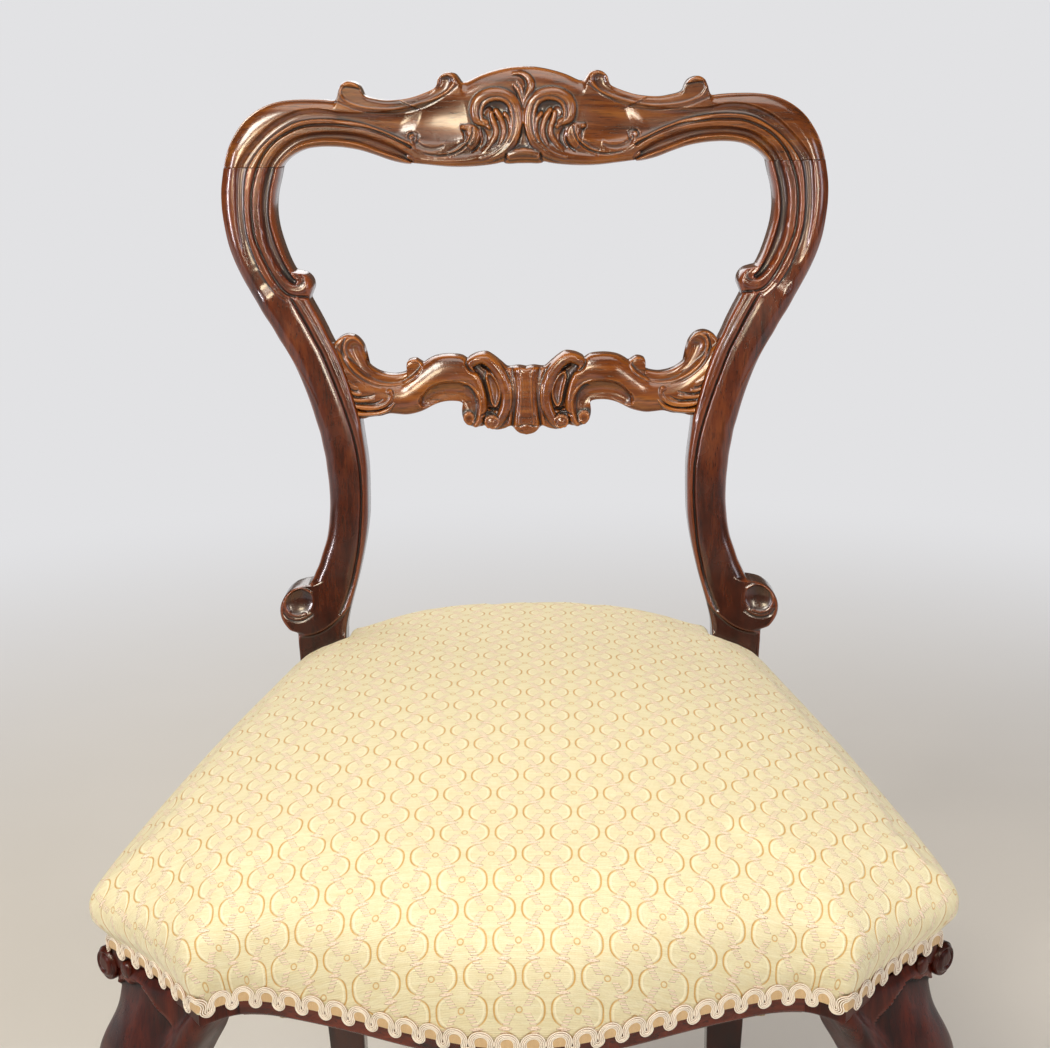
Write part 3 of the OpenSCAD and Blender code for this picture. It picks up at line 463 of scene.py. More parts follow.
# The cover's rows from its edge to its middle: push, share of the height, scale, roundness
seat_rows = [[0, -1, 1, 0], [0, 0, 1, 0], [.7, .2, 1, 0], [1, .45, 1, 0], [.6, .7, 1, 0],
             [-.6, .86, .995, .05], [-2.6, .95, .985, .15], [-3, 1, .9, .6], [-3, 1, .76, 1],
             [-2, 1, .57, 1], [0, 1, .33, 1], [0, 1, .15, 1], [0, 1, .04, 1]]

half_plan = seat_plan(*plan_steps)
plan = whole_plan(half_plan)
outs = plan_outs(plan)
count = len(plan)
rings = [seat_ring(plan, outs, r) for r in smooth_rows(seat_rows[1:], 3)]
rings = [seat_ring(plan, outs, seat_rows[0])] + rings
# The stuffing swells most behind the front corners
near_corner = np.exp(-((np.abs(plan[:, 0]) - 236) / 60) ** 2 - ((plan[:, 1] + 140) / 90) ** 2)
for k, ring in enumerate(rings):
    share = k / (len(rings) - 1)
    ring[:, :2] += outs * (7.5 * near_corner * np.sin(math.pi * min(1, share / 0.42)) ** 1.2)[:, None]
top_point = np.array([[*crown_centre, crown_z(crown_centre)]])
stack = np.array(rings)

# The cloth's own coordinates: as seen from above, drawn out by what its slope adds
line = np.concatenate([stack, np.broadcast_to(top_point[0], (1, count, 3))])
step = np.diff(line[::-1], axis=0)[::-1]
extra = np.linalg.norm(step, axis=2) - np.linalg.norm(step[..., :2], axis=2)
extra = np.cumsum(extra[::-1], axis=0)[::-1]
spread = np.exp(-(np.arange(-30, 31) / 8.0) ** 2)
spread /= spread.sum()
facing = outs.copy()
facing[(np.abs(plan[:, 0]) <= vee_x) & (plan[:, 1] < vee_y + 8)] = (0, -1)
flank = (np.abs(plan[:, 0]) > notch_x + 8) & (plan[:, 1] > corner_y)
facing[flank] = np.stack([np.sign(plan[flank, 0]) * 0.983, np.full(flank.sum(), 0.183)], 1)
wide = unit(np.stack([np.convolve(np.tile(facing[:, k], 3), spread, "same")[count:2 * count] for k in (0, 1)], 1))
weave = np.vstack([(stack[..., :2] + wide[None] * extra[..., None]).reshape(-1, 2), [crown_centre]]) * MM

points = np.vstack([stack.reshape(-1, 3), top_point])
tip = len(points) - 1
top_faces = grid_faces(len(rings), count, wrap_n=True)
top_faces += [[tip - count + j, tip - count + (j + 1) % count, tip] for j in range(count)]


def to_scene(p):
    p = np.asarray(p, float) * MM
    p[..., 1] += SHIFT_Y * MM
    return p


cloth_frames = 20


def evaluated(obj):
    return obj.evaluated_get(bpy.context.evaluated_depsgraph_get())


def keep_shape(obj):
    """Makes the modifiers' result the object's own mesh."""
    mesh = bpy.data.meshes.new_from_object(evaluated(obj))
    obj.modifiers.clear()
    obj.data = mesh
    return mesh


def tight_cover():
    """The cloth over the stuffing: a closed start, remeshed, blown up a little with its edge held."""
    floor_point = [[0, 6.0, gimp_z + 6]]
    faces = top_faces + [[(j + 1) % count, j, tip + 1] for j in range(count)]
    start = new_object("seat_top", np.vstack([points, floor_point]), faces)
    remesh = start.modifiers.new("even", "REMESH")
    remesh.mode = "VOXEL"
    remesh.voxel_size = 0.0058
    remesh.use_smooth_shade = True
    mesh = keep_shape(start)
    at = fetch(mesh.vertices, "co")
    # Back onto the smooth form, and each point's place on the cloth
    surface = BVHTree.FromPolygons(to_scene(points).tolist(), top_faces)
    form = to_scene(points)
    cloth = np.zeros((len(at), 2))
    deep = np.zeros(len(at))
    for k, p in enumerate(at):
        hit, normal, index, far = surface.find_nearest(Vector(p))
        deep[k] = far
        face = top_faces[index]
        w = poly_3d_calc([Vector(form[i]) for i in face], hit)
        cloth[k] = sum((weave[i] * f for i, f in zip(face, w)), np.zeros(2))
        if far < 0.004:
            at[k] = hit
    rim = to_scene(np.column_stack([plan[:, :2], plan[:, 3]]))
    d = np.linalg.norm(at[:, None, :2] - rim[None, :, :2], axis=2)
    nearest = d.argmin(1)
    above = at[:, 2] - rim[nearest, 2]
    free = ease((above * 1000 - gimp_w / 2 - 1) / 9) * ease((0.004 - deep) / 0.001)
    mesh.vertices.foreach_set("co", at.ravel())
    group = start.vertex_groups.new(name="held")
    for k, f in enumerate(free):
        group.add([k], float(1 - f), "REPLACE")
    held = start.modifiers.new("cloth", "CLOTH")
    for key, value in (("vertex_group_mass", "held"), ("quality", 6), ("mass", 0.02),
                       ("tension_stiffness", 18), ("compression_stiffness", 18), ("shear_stiffness", 8),
                       ("bending_stiffness", 1.2), ("shrink_min", -0.004), ("use_pressure", True),
                       ("uniform_pressure_force", 20.0)):
        setattr(held.settings, key, value)
    held.settings.effector_weights.gravity = 0
    held.collision_settings.use_collision = False
    held.point_cache.frame_start, held.point_cache.frame_end = 1, cloth_frames
    scene = bpy.context.scene
    for f in range(1, cloth_frames + 1):
        scene.frame_set(f)
    now = fetch(evaluated(start).to_mesh().vertices, "co")
    start.modifiers.clear()
    move = now - at
    facing = fetch(mesh.vertex_normals, "vector")
    rise = np.sum(move * facing, 1, keepdims=True)
    slide = move - facing * rise
    far = np.linalg.norm(slide, axis=1, keepdims=True)
    at = at + facing * np.clip(rise, -0.0002, 0.0028) + slide * np.minimum(1, 0.001 / np.maximum(far, 1e-9))
    mesh.vertices.foreach_set("co", at.ravel())
    scene.frame_set(1)
    loops = fetch(mesh.loops, "vertex_index", 1, np.int32)[:, 0]
    layer = mesh.uv_layers.new(name="Weave")
    layer.uv.foreach_set("vector", cloth[loops].astype(np.float32).ravel())
    # The underside of the closed start comes away
    bm = bmesh.new()
    bm.from_mesh(mesh)
    bm.verts.ensure_lookup_table()
    inward = d.min(1)
    gone = [f for f in bm.faces
            if (max(above[v.index] for v in f.verts) < 0.006 and min(inward[v.index] for v in f.verts) > 0.0045)
            or (f.normal.z < -0.5 and min(inward[v.index] for v in f.verts) > 0.014)]
    bmesh.ops.delete(bm, geom=gone, context="FACES")
    bm.to_mesh(mesh)
    bm.free()
    mesh.update()
    smooth = start.modifiers.new("smooth", "SUBSURF")
    smooth.levels = smooth.render_levels = 1
    thick = start.modifiers.new("thick", "SOLIDIFY")
    thick.thickness = 0.0012
    thick.offset = 1
    done = keep_shape(start)
    done.polygons.foreach_set("use_smooth", [True] * len(done.polygons))
    return start


def damask():
    """Cream figured silk: rows of gold ovals, set half a pitch apart, on a ribbed ground."""
    n = Nodes("damask_cream")
    uv = n.add("ShaderNodeUVMap", uv_map="Weave").outputs[0]
    at = n.axes(uv)
    # Wide and half as long as one oval's cell, in metres
    pitch, row = 0.030, 0.0172
    layers = []
    for shift in (0.0, 0.5):
        # One oval of the staggered lattice, measured from its own middle
        u = (n.math("FRACT", at[0] * (1 / pitch) + (100.5 + shift)) - 0.5) * (pitch * 1000)
        v = (n.math("FRACT", at[1] * (0.5 / row) + (100.5 + shift)) - 0.5) * (2 * row * 1000)
        au, av = abs(u), abs(v)
        far = ((au / 13.2) ** 2.5 + (av / 8.5) ** 2.5) ** 0.4
        off = (far - 1.0) * 9.6
        ring = abs(off)
        # The arcs' ends stop short at the bottom and hook in at the top
        gap = n.level(v, -7.6, 7.6, 8.4, 5.4)
        open_end = n.level(au - gap, -0.4, 0.5, 0.0, 1.0, smooth=True)
        open_end = open_end * n.level(av, 5.0, 8.2, 1.0, 0.4)
        arc = n.level(ring, 0.18, 0.5, 1.0, 0.0, smooth=True) * open_end
        inner = abs(off + 1.15)
        pale = n.level(inner, 0.2, 0.6, 1.0, 0.0, smooth=True) * open_end
        near = n.math("SQRT", u * u + v * v)
        eye = n.level(abs(near - 1.5), 0.2, 0.5, 1.0, 0.0, smooth=True)
        # Short raised stitches run out from the middle towards the arcs' ends
        slope = au - (av * 0.62 + 2.9)
        beat = abs(n.math("FRACT", av * 0.68) - 0.5)
        bars = n.level(beat, 0.17, 0.3, 1.0, 0.0, smooth=True)
        box = n.level(abs(slope), 1.5, 2.0, 1.0, 0.0) * (n.level(av, 1.6, 2.0) * n.level(av, 9.0, 9.4, 1.0, 0.0))
        stitch = box * bars
        tip_x = abs(au - 9.2)
        tips = n.level(tip_x, 1.4, 1.9, 1.0, 0.0) * n.level(abs(av - 8.6), 0.25, 0.5, 1.0, 0.0)
        stitch = n.math("MAXIMUM", stitch, tips)
        layers.append((arc, eye, stitch, pale))
    arcs, eyes, stitches, edges = (n.math("MAXIMUM", *pair) for pair in zip(*layers))
    gold = n.math("MAXIMUM", arcs, eyes * 0.8)
    rib = n.math("SINE", at[1] * (2 * math.pi / 0.0011))
    cross = n.math("SINE", at[0] * (2 * math.pi / 0.0007))
    thread, slub = (n.noise(n.add("ShaderNodeMapping", Vector=uv, Scale=(*scale, 1)).outputs[0], *how)
                    for scale, how in (((900, 2600), (1.0, 2.0)), ((40, 260), (2.2, 3.0))))
    ground = n.blend(n.level(slub, 0.3, 0.7), srgb(233, 223, 181), srgb(244, 239, 205))
    ground = n.blend(n.level(rib, -1, 1) * 0.14, ground, srgb(220, 202, 160))
    ground = n.blend(n.level(thread, 0.35, 0.7) * 0.18, ground, srgb(206, 184, 140))
    ground = n.blend(edges * 0.6, ground, srgb(255, 248, 216))
    colour = n.blend(gold * 0.85, ground, srgb(208, 158, 66))
    # Each stitch is pale on top with a rosy shadow under it
    shade = n.level(stitches, 0.05, 0.4)
    colour = n.blend(shade * 0.85, colour, srgb(206, 158, 120))
    colour = n.blend(n.level(stitches, 0.5, 0.85, 0.0, 0.95), colour, srgb(255, 236, 214))
    raised = stitches * 1.3
    height = (rib + cross) * 0.1 + (raised + (gold * -0.45 + edges * 0.3))
    return n.finish(Base_Color=colour, Roughness=n.level(gold, 0, 1, 0.6, 0.4), Sheen_Weight=0.25,
                    Sheen_Roughness=0.4, Specular_IOR_Level=0.35, Normal=n.bump(height, 0.75, 0.0007))


seat = declare(tight_cover(), damask(), "damask", "seat_cover")

# BACK FRAME

straight_top_z, back_span, back_half = 429.0, 376.0, 225.0


def back_y(x, z):
    """The front of the back: it leans, bends and bows."""
    s = (z - straight_top_z) / back_span
    lean = rear_y + 47 * s + 15 * s * s
    return np.where(z < straight_top_z, rear_y, lean + 12 * (1 - (x / back_half) ** 2) * ease(s / .2))


def run_of(curve):
    return np.concatenate([[0], np.cumsum(np.linalg.norm(np.diff(curve, axis=0), axis=1))])


def even(curve, count):
    curve = np.asarray(curve, float)
    run = run_of(curve)
    t = np.linspace(0, run[-1], count)
    return np.stack([np.interp(t, run, curve[:, k]) for k in range(curve.shape[1])], 1)


def drawn(*numbers, steps=5):
    """A smooth curve through points, given as x, z, x, z and so on."""
    return smooth_rows(np.reshape(numbers, (-1, 2)), steps)


def cut_out(curve, start, end):
    """The part of a curve between the places nearest two points."""
    a = np.argmin(np.linalg.norm(curve - start, axis=1))
    b = np.argmin(np.linalg.norm(curve - end, axis=1))
    return curve[min(a, b):max(a, b) + 1]


def between(one, two, ends_one, ends_two):
    """The line midway between parts of two lines, and half the gap between them along it."""
    a, b = even(cut_out(one, *ends_one), 70), even(cut_out(two, *ends_two), 70)
    return (a + b) / 2, np.linalg.norm(a - b, axis=1) / 2


class Relief:
    """Heights of carving over places of a flat drawing, in millimetres."""

    def __init__(self, x, z):
        self.x, self.z = x.ravel(), z.ravel()
        self.h = np.zeros(self.x.size)
        self.shape = x.shape

    def near(self, curve, wide):
        """The places within reach of a curve: which, how far, how far along and on what side."""
        if isinstance(curve, list):
            curve = drawn(*curve)
        low, high = curve.min(0) - wide, curve.max(0) + wide
        pick = np.nonzero((self.x > low[0]) & (self.x < high[0]) & (self.z > low[1]) & (self.z < high[1]))[0]
        p = np.stack([self.x[pick], self.z[pick]], 1)
        gap = np.full(len(pick), 1e9)
        share, side = np.zeros(len(pick)), np.zeros(len(pick))
        n = len(curve) - 1
        for i in range(n):
            d = curve[i + 1] - curve[i]
            size = max(d @ d, 1e-9)
            q = p - curve[i]
            t = np.clip(q @ d / size, 0, 1)
            r = np.hypot(*(q - t[:, None] * d).T)
            m = r < gap
            gap[m] = r[m]
            share[m] = (i + t[m]) / n
            side[m] = np.sign(d[0] * q[m, 1] - d[1] * q[m, 0])
        m = gap < wide
        return pick[m], gap[m], share[m], side[m]

    def stretch(self, values, share):
        values = np.atleast_1d(np.asarray(values, float))
        return np.interp(share, np.linspace(0, 1, len(values)), values)

    def rounded(self, curve, width, power):
        pick, gap, share, _ = self.near(curve, np.max(width))
        w = self.stretch(width, share)
        return pick, share, np.clip(1 - (gap / np.maximum(w, 1e-6)) ** 2, 0, 1) ** power

    def tube(self, curve, width, height, base=None, power=0.5):
        """A rounded strand standing on the ground or on a given level."""
        pick, share, shape = self.rounded(curve, width, power)
        rise = self.stretch(height, share) * shape
        if base is None:
            self.h[pick] += rise
        else:
            rise = np.where(shape > 0, self.stretch(base, share) + rise, -1e9)
            self.h[pick] = np.maximum(self.h[pick], rise)

    def groove(self, curve, width, depth, power=1.0):
        pick, gap, share, _ = self.near(curve, np.max(width))
        w = self.stretch(width, share)
        self.h[pick] -= self.stretch(depth, share) * np.clip(1 - gap / np.maximum(w, 1e-6), 0, 1) ** power

    def hollow(self, curve, width, depth, power=0.8):
        """A channel no shallower than its own round bottom."""
        pick, share, shape = self.rounded(curve, width, power)
        self.h[pick] = np.where(shape > 0, np.minimum(self.h[pick], -self.stretch(depth, share) * shape),
                                self.h[pick])

    def trough(self, rows, steps, power):
        """A hollow along rows of x, z, width and depth."""
        rows = smooth_rows(rows, steps)
        self.hollow(rows[:, :2], rows[:, 2], rows[:, 3], power)

    def beside(self, curve, wide, hand, depth, soft=0.9, tail=1.5):
        """Lowers the ground on one side of a line."""
        pick, gap, share, side = self.near(curve, wide)
        m = (side == hand) & (share > 1e-6) & (share < 1 - 1e-6)
        fade = ease(gap[m] / soft) * ease((wide - gap[m]) / tail) * ease(share[m] / 0.07) * ease((1 - share[m]) / 0.07)
        self.h[pick[m]] -= self.stretch(depth, share[m]) * fade

    def inside(self, outline):
        ring = np.asarray(outline, float)
        odd = np.zeros(self.x.size, bool)
        for a, b in zip(ring, np.roll(ring, -1, 0)):
            cross = (a[1] > self.z) != (b[1] > self.z)
            at = a[0] + (self.z - a[1]) * (b[0] - a[0]) / (b[1] - a[1] if b[1] != a[1] else 1e-9)
            odd ^= cross & (self.x < at)
        return odd

    def pad(self, outline, height, edge, base, wide=12.0):
        """A raised piece with its own outline, its top flat and its edges soft."""
        ring = drawn(*np.ravel(outline), *outline[0], steps=4)
        pick, gap, _, _ = self.near(ring, wide)
        odd = self.inside(ring)
        far = np.full(self.x.size, wide)
        far[pick] = gap
        rise = base + (height - base) * np.sqrt(np.clip(1 - (1 - np.clip(far / edge, 0, 1)) ** 2, 0, 1))
        self.h = np.where(odd, np.maximum(self.h, rise), self.h)

    def disc(self, x, z, rx, rz, height, tilt=0.0, power=0.5, add=True):
        dx, dz = self.x - x, self.z - z
        c, s = math.cos(math.radians(tilt)), math.sin(math.radians(tilt))
        r2 = ((c * dx + s * dz) / rx) ** 2 + ((c * dz - s * dx) / rz) ** 2
        shape = np.clip(1 - r2, 0, 1) ** power
        if add:
            self.h += height * shape
        else:
            self.h = np.where(shape > 0, np.maximum(self.h, height * shape), self.h)

    def heights(self):
        return self.h.reshape(self.shape)


def folded(curve):
    """Lines read from one half, whose own middle lay a little to one side."""
    c = np.array(curve, float)
    c[:, 0] += 1.5 * np.clip(1 - c[:, 0] / 90, 0, 1)
    return c


# The lines of each shoulder's mouldings, from the outside in, and the groove down the stile
cove_line = drawn(
    200, 726, 204.9, 734.2, 208.4, 740.9, 211.2, 749.9, 213.7, 762, 214.9, 774, 215, 789, 214, 803, 209.2, 812.8,
    199.7, 824.7, 187.2, 836.5, 171.7, 844.5, 157.8, 846.8, 145.4, 846, 134.7, 843.2)
ridge_line = drawn(
    177.4, 707.5, 184.6, 713.7, 190.6, 721.1, 196.4, 730.3, 199.9, 738.9, 202.8, 746.7, 205.4, 757, 206.8, 767.8,
    207, 779.8, 206.4, 791.8, 204.3, 803, 200, 811.1, 192.1, 820.8, 181.2, 829.6, 168.8, 836.2, 154.8, 838.5,
    139.4, 838, 120.8, 835.1, 105.4, 829.9, 93, 824.4, 84.5, 820.5)
first_groove = drawn(
    162, 710.4, 165, 710.9, 171.8, 711.6, 177.3, 713.6, 182, 718.5, 187.4, 725.9, 192.7, 735.7, 196.7, 744.8,
    200.2, 753.9, 202, 764.7, 202.6, 776.7, 201.8, 788.7, 198.8, 801, 193.8, 812.5, 186, 822.2, 176.6, 828.8,
    164.2, 833.8, 151.8, 835, 136.4, 834.5, 117.8, 831.6, 102.3, 826.8, 90, 821.4, 84, 817.8)
second_groove = drawn(
    167.1, 727.1, 165, 724.8, 165.4, 721.2, 168.5, 719.4, 174, 720.2, 179.5, 724.5, 184.8, 731.9, 188.9, 739.8,
    192.4, 748.3, 194.6, 758, 196, 770, 196.3, 778.4, 195, 789.7, 192, 801.5, 187.7, 810.9, 179.9, 819.8,
    170.5, 825.7, 158.1, 828.9, 145.7, 829.8, 130.2, 829.2, 114.8, 826.3, 99.3, 820.7, 87, 813.7, 82.6, 810.2)
inner_bead = drawn(
    170.5, 724.2, 172.7, 726.2, 177.4, 734.1, 182.1, 744.5, 186.1, 756.6, 188.4, 767.4, 188.5, 778.2, 187.2, 788.4,
    184.2, 800.5, 181.7, 807, 173.8, 815.2, 164.4, 821.1, 152, 823.6, 139.6, 823.4, 124.2, 821.1, 107.2, 814.8,
    91.7, 809.3, 83.2, 806.1)
stile_groove = drawn(
    174.7, 709.8, 170, 702, 164.5, 692.5, 158, 680, 151.5, 667.3, 142.4, 644, 135, 622.6, 129.6, 603.1, 126.5, 583.5,
    125.6, 563.9, 126.7, 544.3, 128.5, 524.6, 132, 506.6, 135, 495, 138.8, 484, 142.9, 474.9)


def carve_mouldings(r):
    """The mouldings that sweep round each shoulder from the volute to the leaves."""
    centre, half = between(cove_line, ridge_line, ((203, 731), (134.7, 843.2)), ((199.9, 738.9), (136, 837.6)))
    r.hollow(centre, half, np.interp(np.linspace(0, 1, 70), [0, .12, .5, 1], [0.4, 2.2, 3.0, 2.6]), 0.75)
    # The field between the crest's scrolls and leaves
    r.trough([(140, 841.2, 3.4, 2.6), (126, 839, 4.8, 2.7), (110, 836.5, 7.4, 2.9), (95, 835, 10.5, 3.1),
        (82, 835, 14, 3.2), (68, 836.5, 17, 3.0), (54, 838, 17, 2.0), (42, 840, 14, 0.6)], 6, 0.7)
    r.beside(cut_out(ridge_line, (184.6, 713.7), (84.5, 820.5)), 26, -1, 2.3, 0.8)
    r.tube(ridge_line, 0.9, 0.55)
    centre, half = between(ridge_line, first_groove, ((190.6, 721.1), (84.5, 820.5)), ((184, 721), (84, 817.8)))
    r.tube(centre, half * 0.95, 1.0)
    r.groove(cut_out(first_groove, (162, 710.4), (84, 817.8)), 1.5, 2.8, 0.8)
    centre, half = between(first_groove, second_groove, ((182, 718.5), (84, 817.8)), ((179.5, 724.5), (83, 811)))
    r.tube(centre, half - 0.5, 2.4, -3.4)
    curl = drawn(
        188.5, 733, 182.4, 723.2, 176.2, 717.4, 169.4, 715.2, 163.9, 717.4, 161.9, 722.2, 164.6, 726, 168, 727.2)
    r.tube(curl, [2.8, 3.6, 4.0, 4.2, 4.2, 3.8, 2.8, 1.8], [2.3, 2.8, 3.4, 3.8, 3.9, 3.6, 3.0, 2.4], -3.4)
    r.groove(second_groove, 0.85, 1.3)
    centre, half = between(second_groove, inner_bead, ((174, 720.2), (82.6, 810.2)), ((170.5, 724.2), (83.2, 806.1)))
    r.hollow(centre, half - 0.2, 4.6, 0.7)
    r.tube(inner_bead, 1.3, 0.7)


crest_lines = {
    "vol": [26.8, 834.5, 33, 837.2, 34.6, 844.2, 32, 850.6, 25.6, 854.6, 18, 855.4, 10.8, 853.4, 5.5, 848.8, 2.9, 842,
        2.3, 834.6, 3.7, 827.2, 7.2, 820.3, 12.6, 814.7, 19.9, 810.5, 28.9, 807.5, 39.8, 806.4, 51.4, 807.2],
    "rim": [24.1, 831, 29, 836.3, 30.1, 842.4, 28.2, 848, 23, 851.4, 15.8, 851.9, 10, 849, 7.1, 842.9, 6.4, 835.9,
        7.3, 828.1, 10.3, 821.6, 15.3, 816.1, 22.6, 811.4, 30.7, 808.9],
    "reed_a": [22.5, 841.3, 21.7, 837.2, 19.3, 831.1, 19.3, 825.8, 21.9, 821, 25, 816.3, 28.8, 812.7, 33.8, 809.8,
        38.7, 808.1],
    "reed_b": [19.1, 843.1, 17.3, 840.7, 14.9, 836.5, 13.4, 831.7, 13.1, 826.9, 14.4, 822.1, 17, 817.3, 22, 812.6,
        27, 809.9],
    "reed_c": [12.3, 840.6, 9.6, 837.6, 8.1, 832.8, 8.2, 828, 10.1, 823.2, 13.2, 817.9, 18.9, 812.6],
    "stem": [79, 821.2, 78.2, 823.6, 78.6, 826.4, 81.1, 828.1, 83.6, 827.9, 85.4, 826.2, 85.6, 823.5, 84, 820.5,
        81.3, 817.7, 77.6, 815.1, 72.7, 813, 67.2, 811.9, 61, 811.5, 54.8, 812.2, 49.8, 813.6, 45.4, 815.9,
        41.7, 818.9, 39.3, 821.8, 37.9, 824.8, 36.9, 828.1, 36.9, 830.8],
    "body": [84.5, 811.6, 76, 808.3, 65.2, 807.2, 49.6, 807.2, 32.3, 809.5, 18.2, 815.2],
    "tongue_a": [78, 821.2, 74.5, 820.3, 70.8, 819.3, 66.4, 819.6, 62.7, 820.4, 60.2, 821.3, 58.4, 821.5, 57.1, 820.6,
        56.6, 817.9, 57.4, 815.2, 59.6, 812.4, 67.2, 812.1, 73, 813.2, 78, 815.6, 81.3, 818.4, 80.5, 821.5],
    "tongue_b": [57.6, 815.2, 53.5, 816.4, 50.4, 818.7, 48.5, 821.4, 46.6, 822.9, 43.5, 822.4, 40.4, 821.3, 42, 818.6,
        45.4, 815.9, 49.8, 813.6, 54.8, 812.2],
    "curl_c": [45.6, 830.6, 45.4, 832.4, 43.4, 833.6, 40.3, 834.2, 37.2, 834.1, 34.1, 832.8, 32, 830.4, 30.8, 827.1,
        31.1, 823.5, 32.7, 820, 35.2, 817, 37.4, 815, 40.5, 816, 41.6, 818.9, 42.6, 821.6, 41.5, 823.1, 41.3, 826.1,
        42, 829.1],
    "dish": [82, 825.2, 79.4, 821, 75, 817.8, 69.5, 816.4, 64, 816.6, 59.4, 818.2],
}
crest_lines = {k: folded(drawn(*v, steps=4)) for k, v in crest_lines.items()}


def carve_crest(r, sign):
    """Scrolls, leaves and horns of one half of the crest rail. The sprig leans one way."""
    line = crest_lines
    # The scooped scroll between the two horns
    r.trough([(130.5, 857.5, 4.8, 2.0), (122, 853, 3.4, 1.5), (110, 849.4, 3.0, 1.3), (96, 848.8, 3.0, 1.3),
        (82, 851, 3.2, 1.3), (69, 855.2, 3.6, 1.5), (60, 860, 4.2, 1.8), (57.5, 865, 4.8, 2.2)], 5, 0.6)
    rim = drawn(
        122.5, 861.8, 127, 864.2, 131.6, 863.4, 134.7, 860.8, 135.6, 857.2, 133, 852.9, 128, 849.9, 120, 847.3,
        110, 845.8, 97, 845.4, 86.4, 846.7, 77.1, 848.9, 67.7, 851.8, 59.8, 855.3, 53.5, 859.7, 50.6, 864.5,
        51.9, 868.3, 56, 869.9, 60.5, 868.6)
    r.tube(rim, 1.0, 0.9)
    r.groove([139.5, 851.4, 131.4, 848.4, 123.7, 845.4, 111.4, 842.9, 94.3, 842.4, 75.5, 846.2, 59.8, 853.6,
        48.6, 861.5], 1.1, 0.7)
    # Leaf along the lower edge: a rimmed band, two tongues and a curl that stands up
    r.tube(line["body"], [2.4, 4.0, 4.6, 4.6, 4.2], [1.2, 2.2, 2.6, 2.6, 2.2], [-2.2, -1.8, -1.4, -.8, -.4])
    r.pad(line["tongue_a"], 0.2, 1.5, -2.4)
    r.pad(line["tongue_b"], 0.4, 1.5, -2.2)
    r.pad(line["curl_c"], 1.3, 2.0, -2.0)
    r.hollow(line["dish"], [1.6, 2.6, 2.2, 1.7, 1.5, 1.1], [2.4, 2.2, 1.4, 1.0, 0.8, 0.4], 0.7)
    r.groove(folded(drawn(55.5, 814.2, 50.5, 816.3, 46.3, 819.4, 42.5, 820.6)), [0.8, 1.6, 1.7, 0.8], 1.0)
    r.disc(83.2, 825.2, 2.2, 2.2, 1.5)
    r.disc(45, 831.4, 2.2, 2.2, 1.6)
    r.groove(line["stem"], [1.3, 1.6, 1.6, 1.4, 1.2], [1.2, 1.6, 1.5, 1.4, 1.3], 0.8)
    r.tube(line["stem"] + [0.9, 0.8], 0.8, [0.3, 0.8, 0.9, 0.9, 0.7])
    r.tube(line["stem"] - [0.7, 1.0], 0.8, [0.3, 0.6, 0.7, 0.7, 0.5])
    r.groove(folded(drawn(44.6, 829.8, 42.9, 826.6, 42.8, 823.4)), [1.2, 1.3, 0.7], 1.6)
    r.groove(folded(drawn(30.2, 824.2, 31.4, 819.9, 34, 816.4, 37.6, 813.8)), [0.7, 1.5, 1.5, 0.8],
        [1.0, 3.0, 3.2, 1.6])
    # Ground beside the leaf and inside the volute
    r.hollow(folded(drawn(29.2, 829.8, 27.6, 825.6, 27.8, 820.6, 31.5, 815.8)), [1.6, 2.4, 2.2, 1.0],
        [1.6, 2.2, 2.2, 1.4])
    # The eye of the volute, its ball, and the reeds that rise into it
    r.disc(19.6, 843.6, 9.4, 7.6, -3.2, 8, 0.45)
    r.disc(25.6, 842.2, 3.5, 4.0, 2.4, 0, 0.6)
    r.tube(line["rim"], [1.2, 1.5, 1.5, 1.4, 1.3], 2.5, [0.2, 0.6, 0.8, 0.8, 0.4, 0])
    for name, w in (("reed_c", 1.9), ("reed_b", 2.2), ("reed_a", 2.3)):
        r.tube(line[name], [0.8 * w, w, w, w, w, 0.9 * w, 0.6 * w], [2.4, 3.0, 3.0, 2.8, 2.4, 1.8, 1.0], -0.6)
    r.tube(line["vol"], [2.6, 3.6, 4.3, 4.5, 4.5, 4.5, 4.4, 4.3, 4.2, 4.1, 3.9, 3.6, 3.0, 2.2, 1.2, 0.6],
        [3.2, 3.9, 4.2, 4.2, 4.2, 4.2, 4.2, 4.2, 4.1, 4.0, 3.8, 3.3, 2.6, 1.8, 1.0, 0.5], 0.0)
    # Fine line inside the volute's rim
    r.groove(folded(drawn(25.3, 832.3, 30.4, 836.6, 31.6, 842.6, 29.6, 849, 23.8, 852.7, 15.4, 853.2, 9, 850,
        5.9, 843.4, 5.1, 835.6, 6.1, 827.4, 9.2, 820.6)), 0.7, 1.1)
    # Middle of the crest: sprig, punched ground and plinth
    x = r.x * sign
    r.hollow([0, 833, 0, 826, 0, 819.5], [0.8, 2.6, 5.0], [0.6, 1.4, 1.6], 0.6)
    single = Relief(x, r.z)

    def shifted(*numbers):
        return drawn(*numbers) - [1.5, 0]

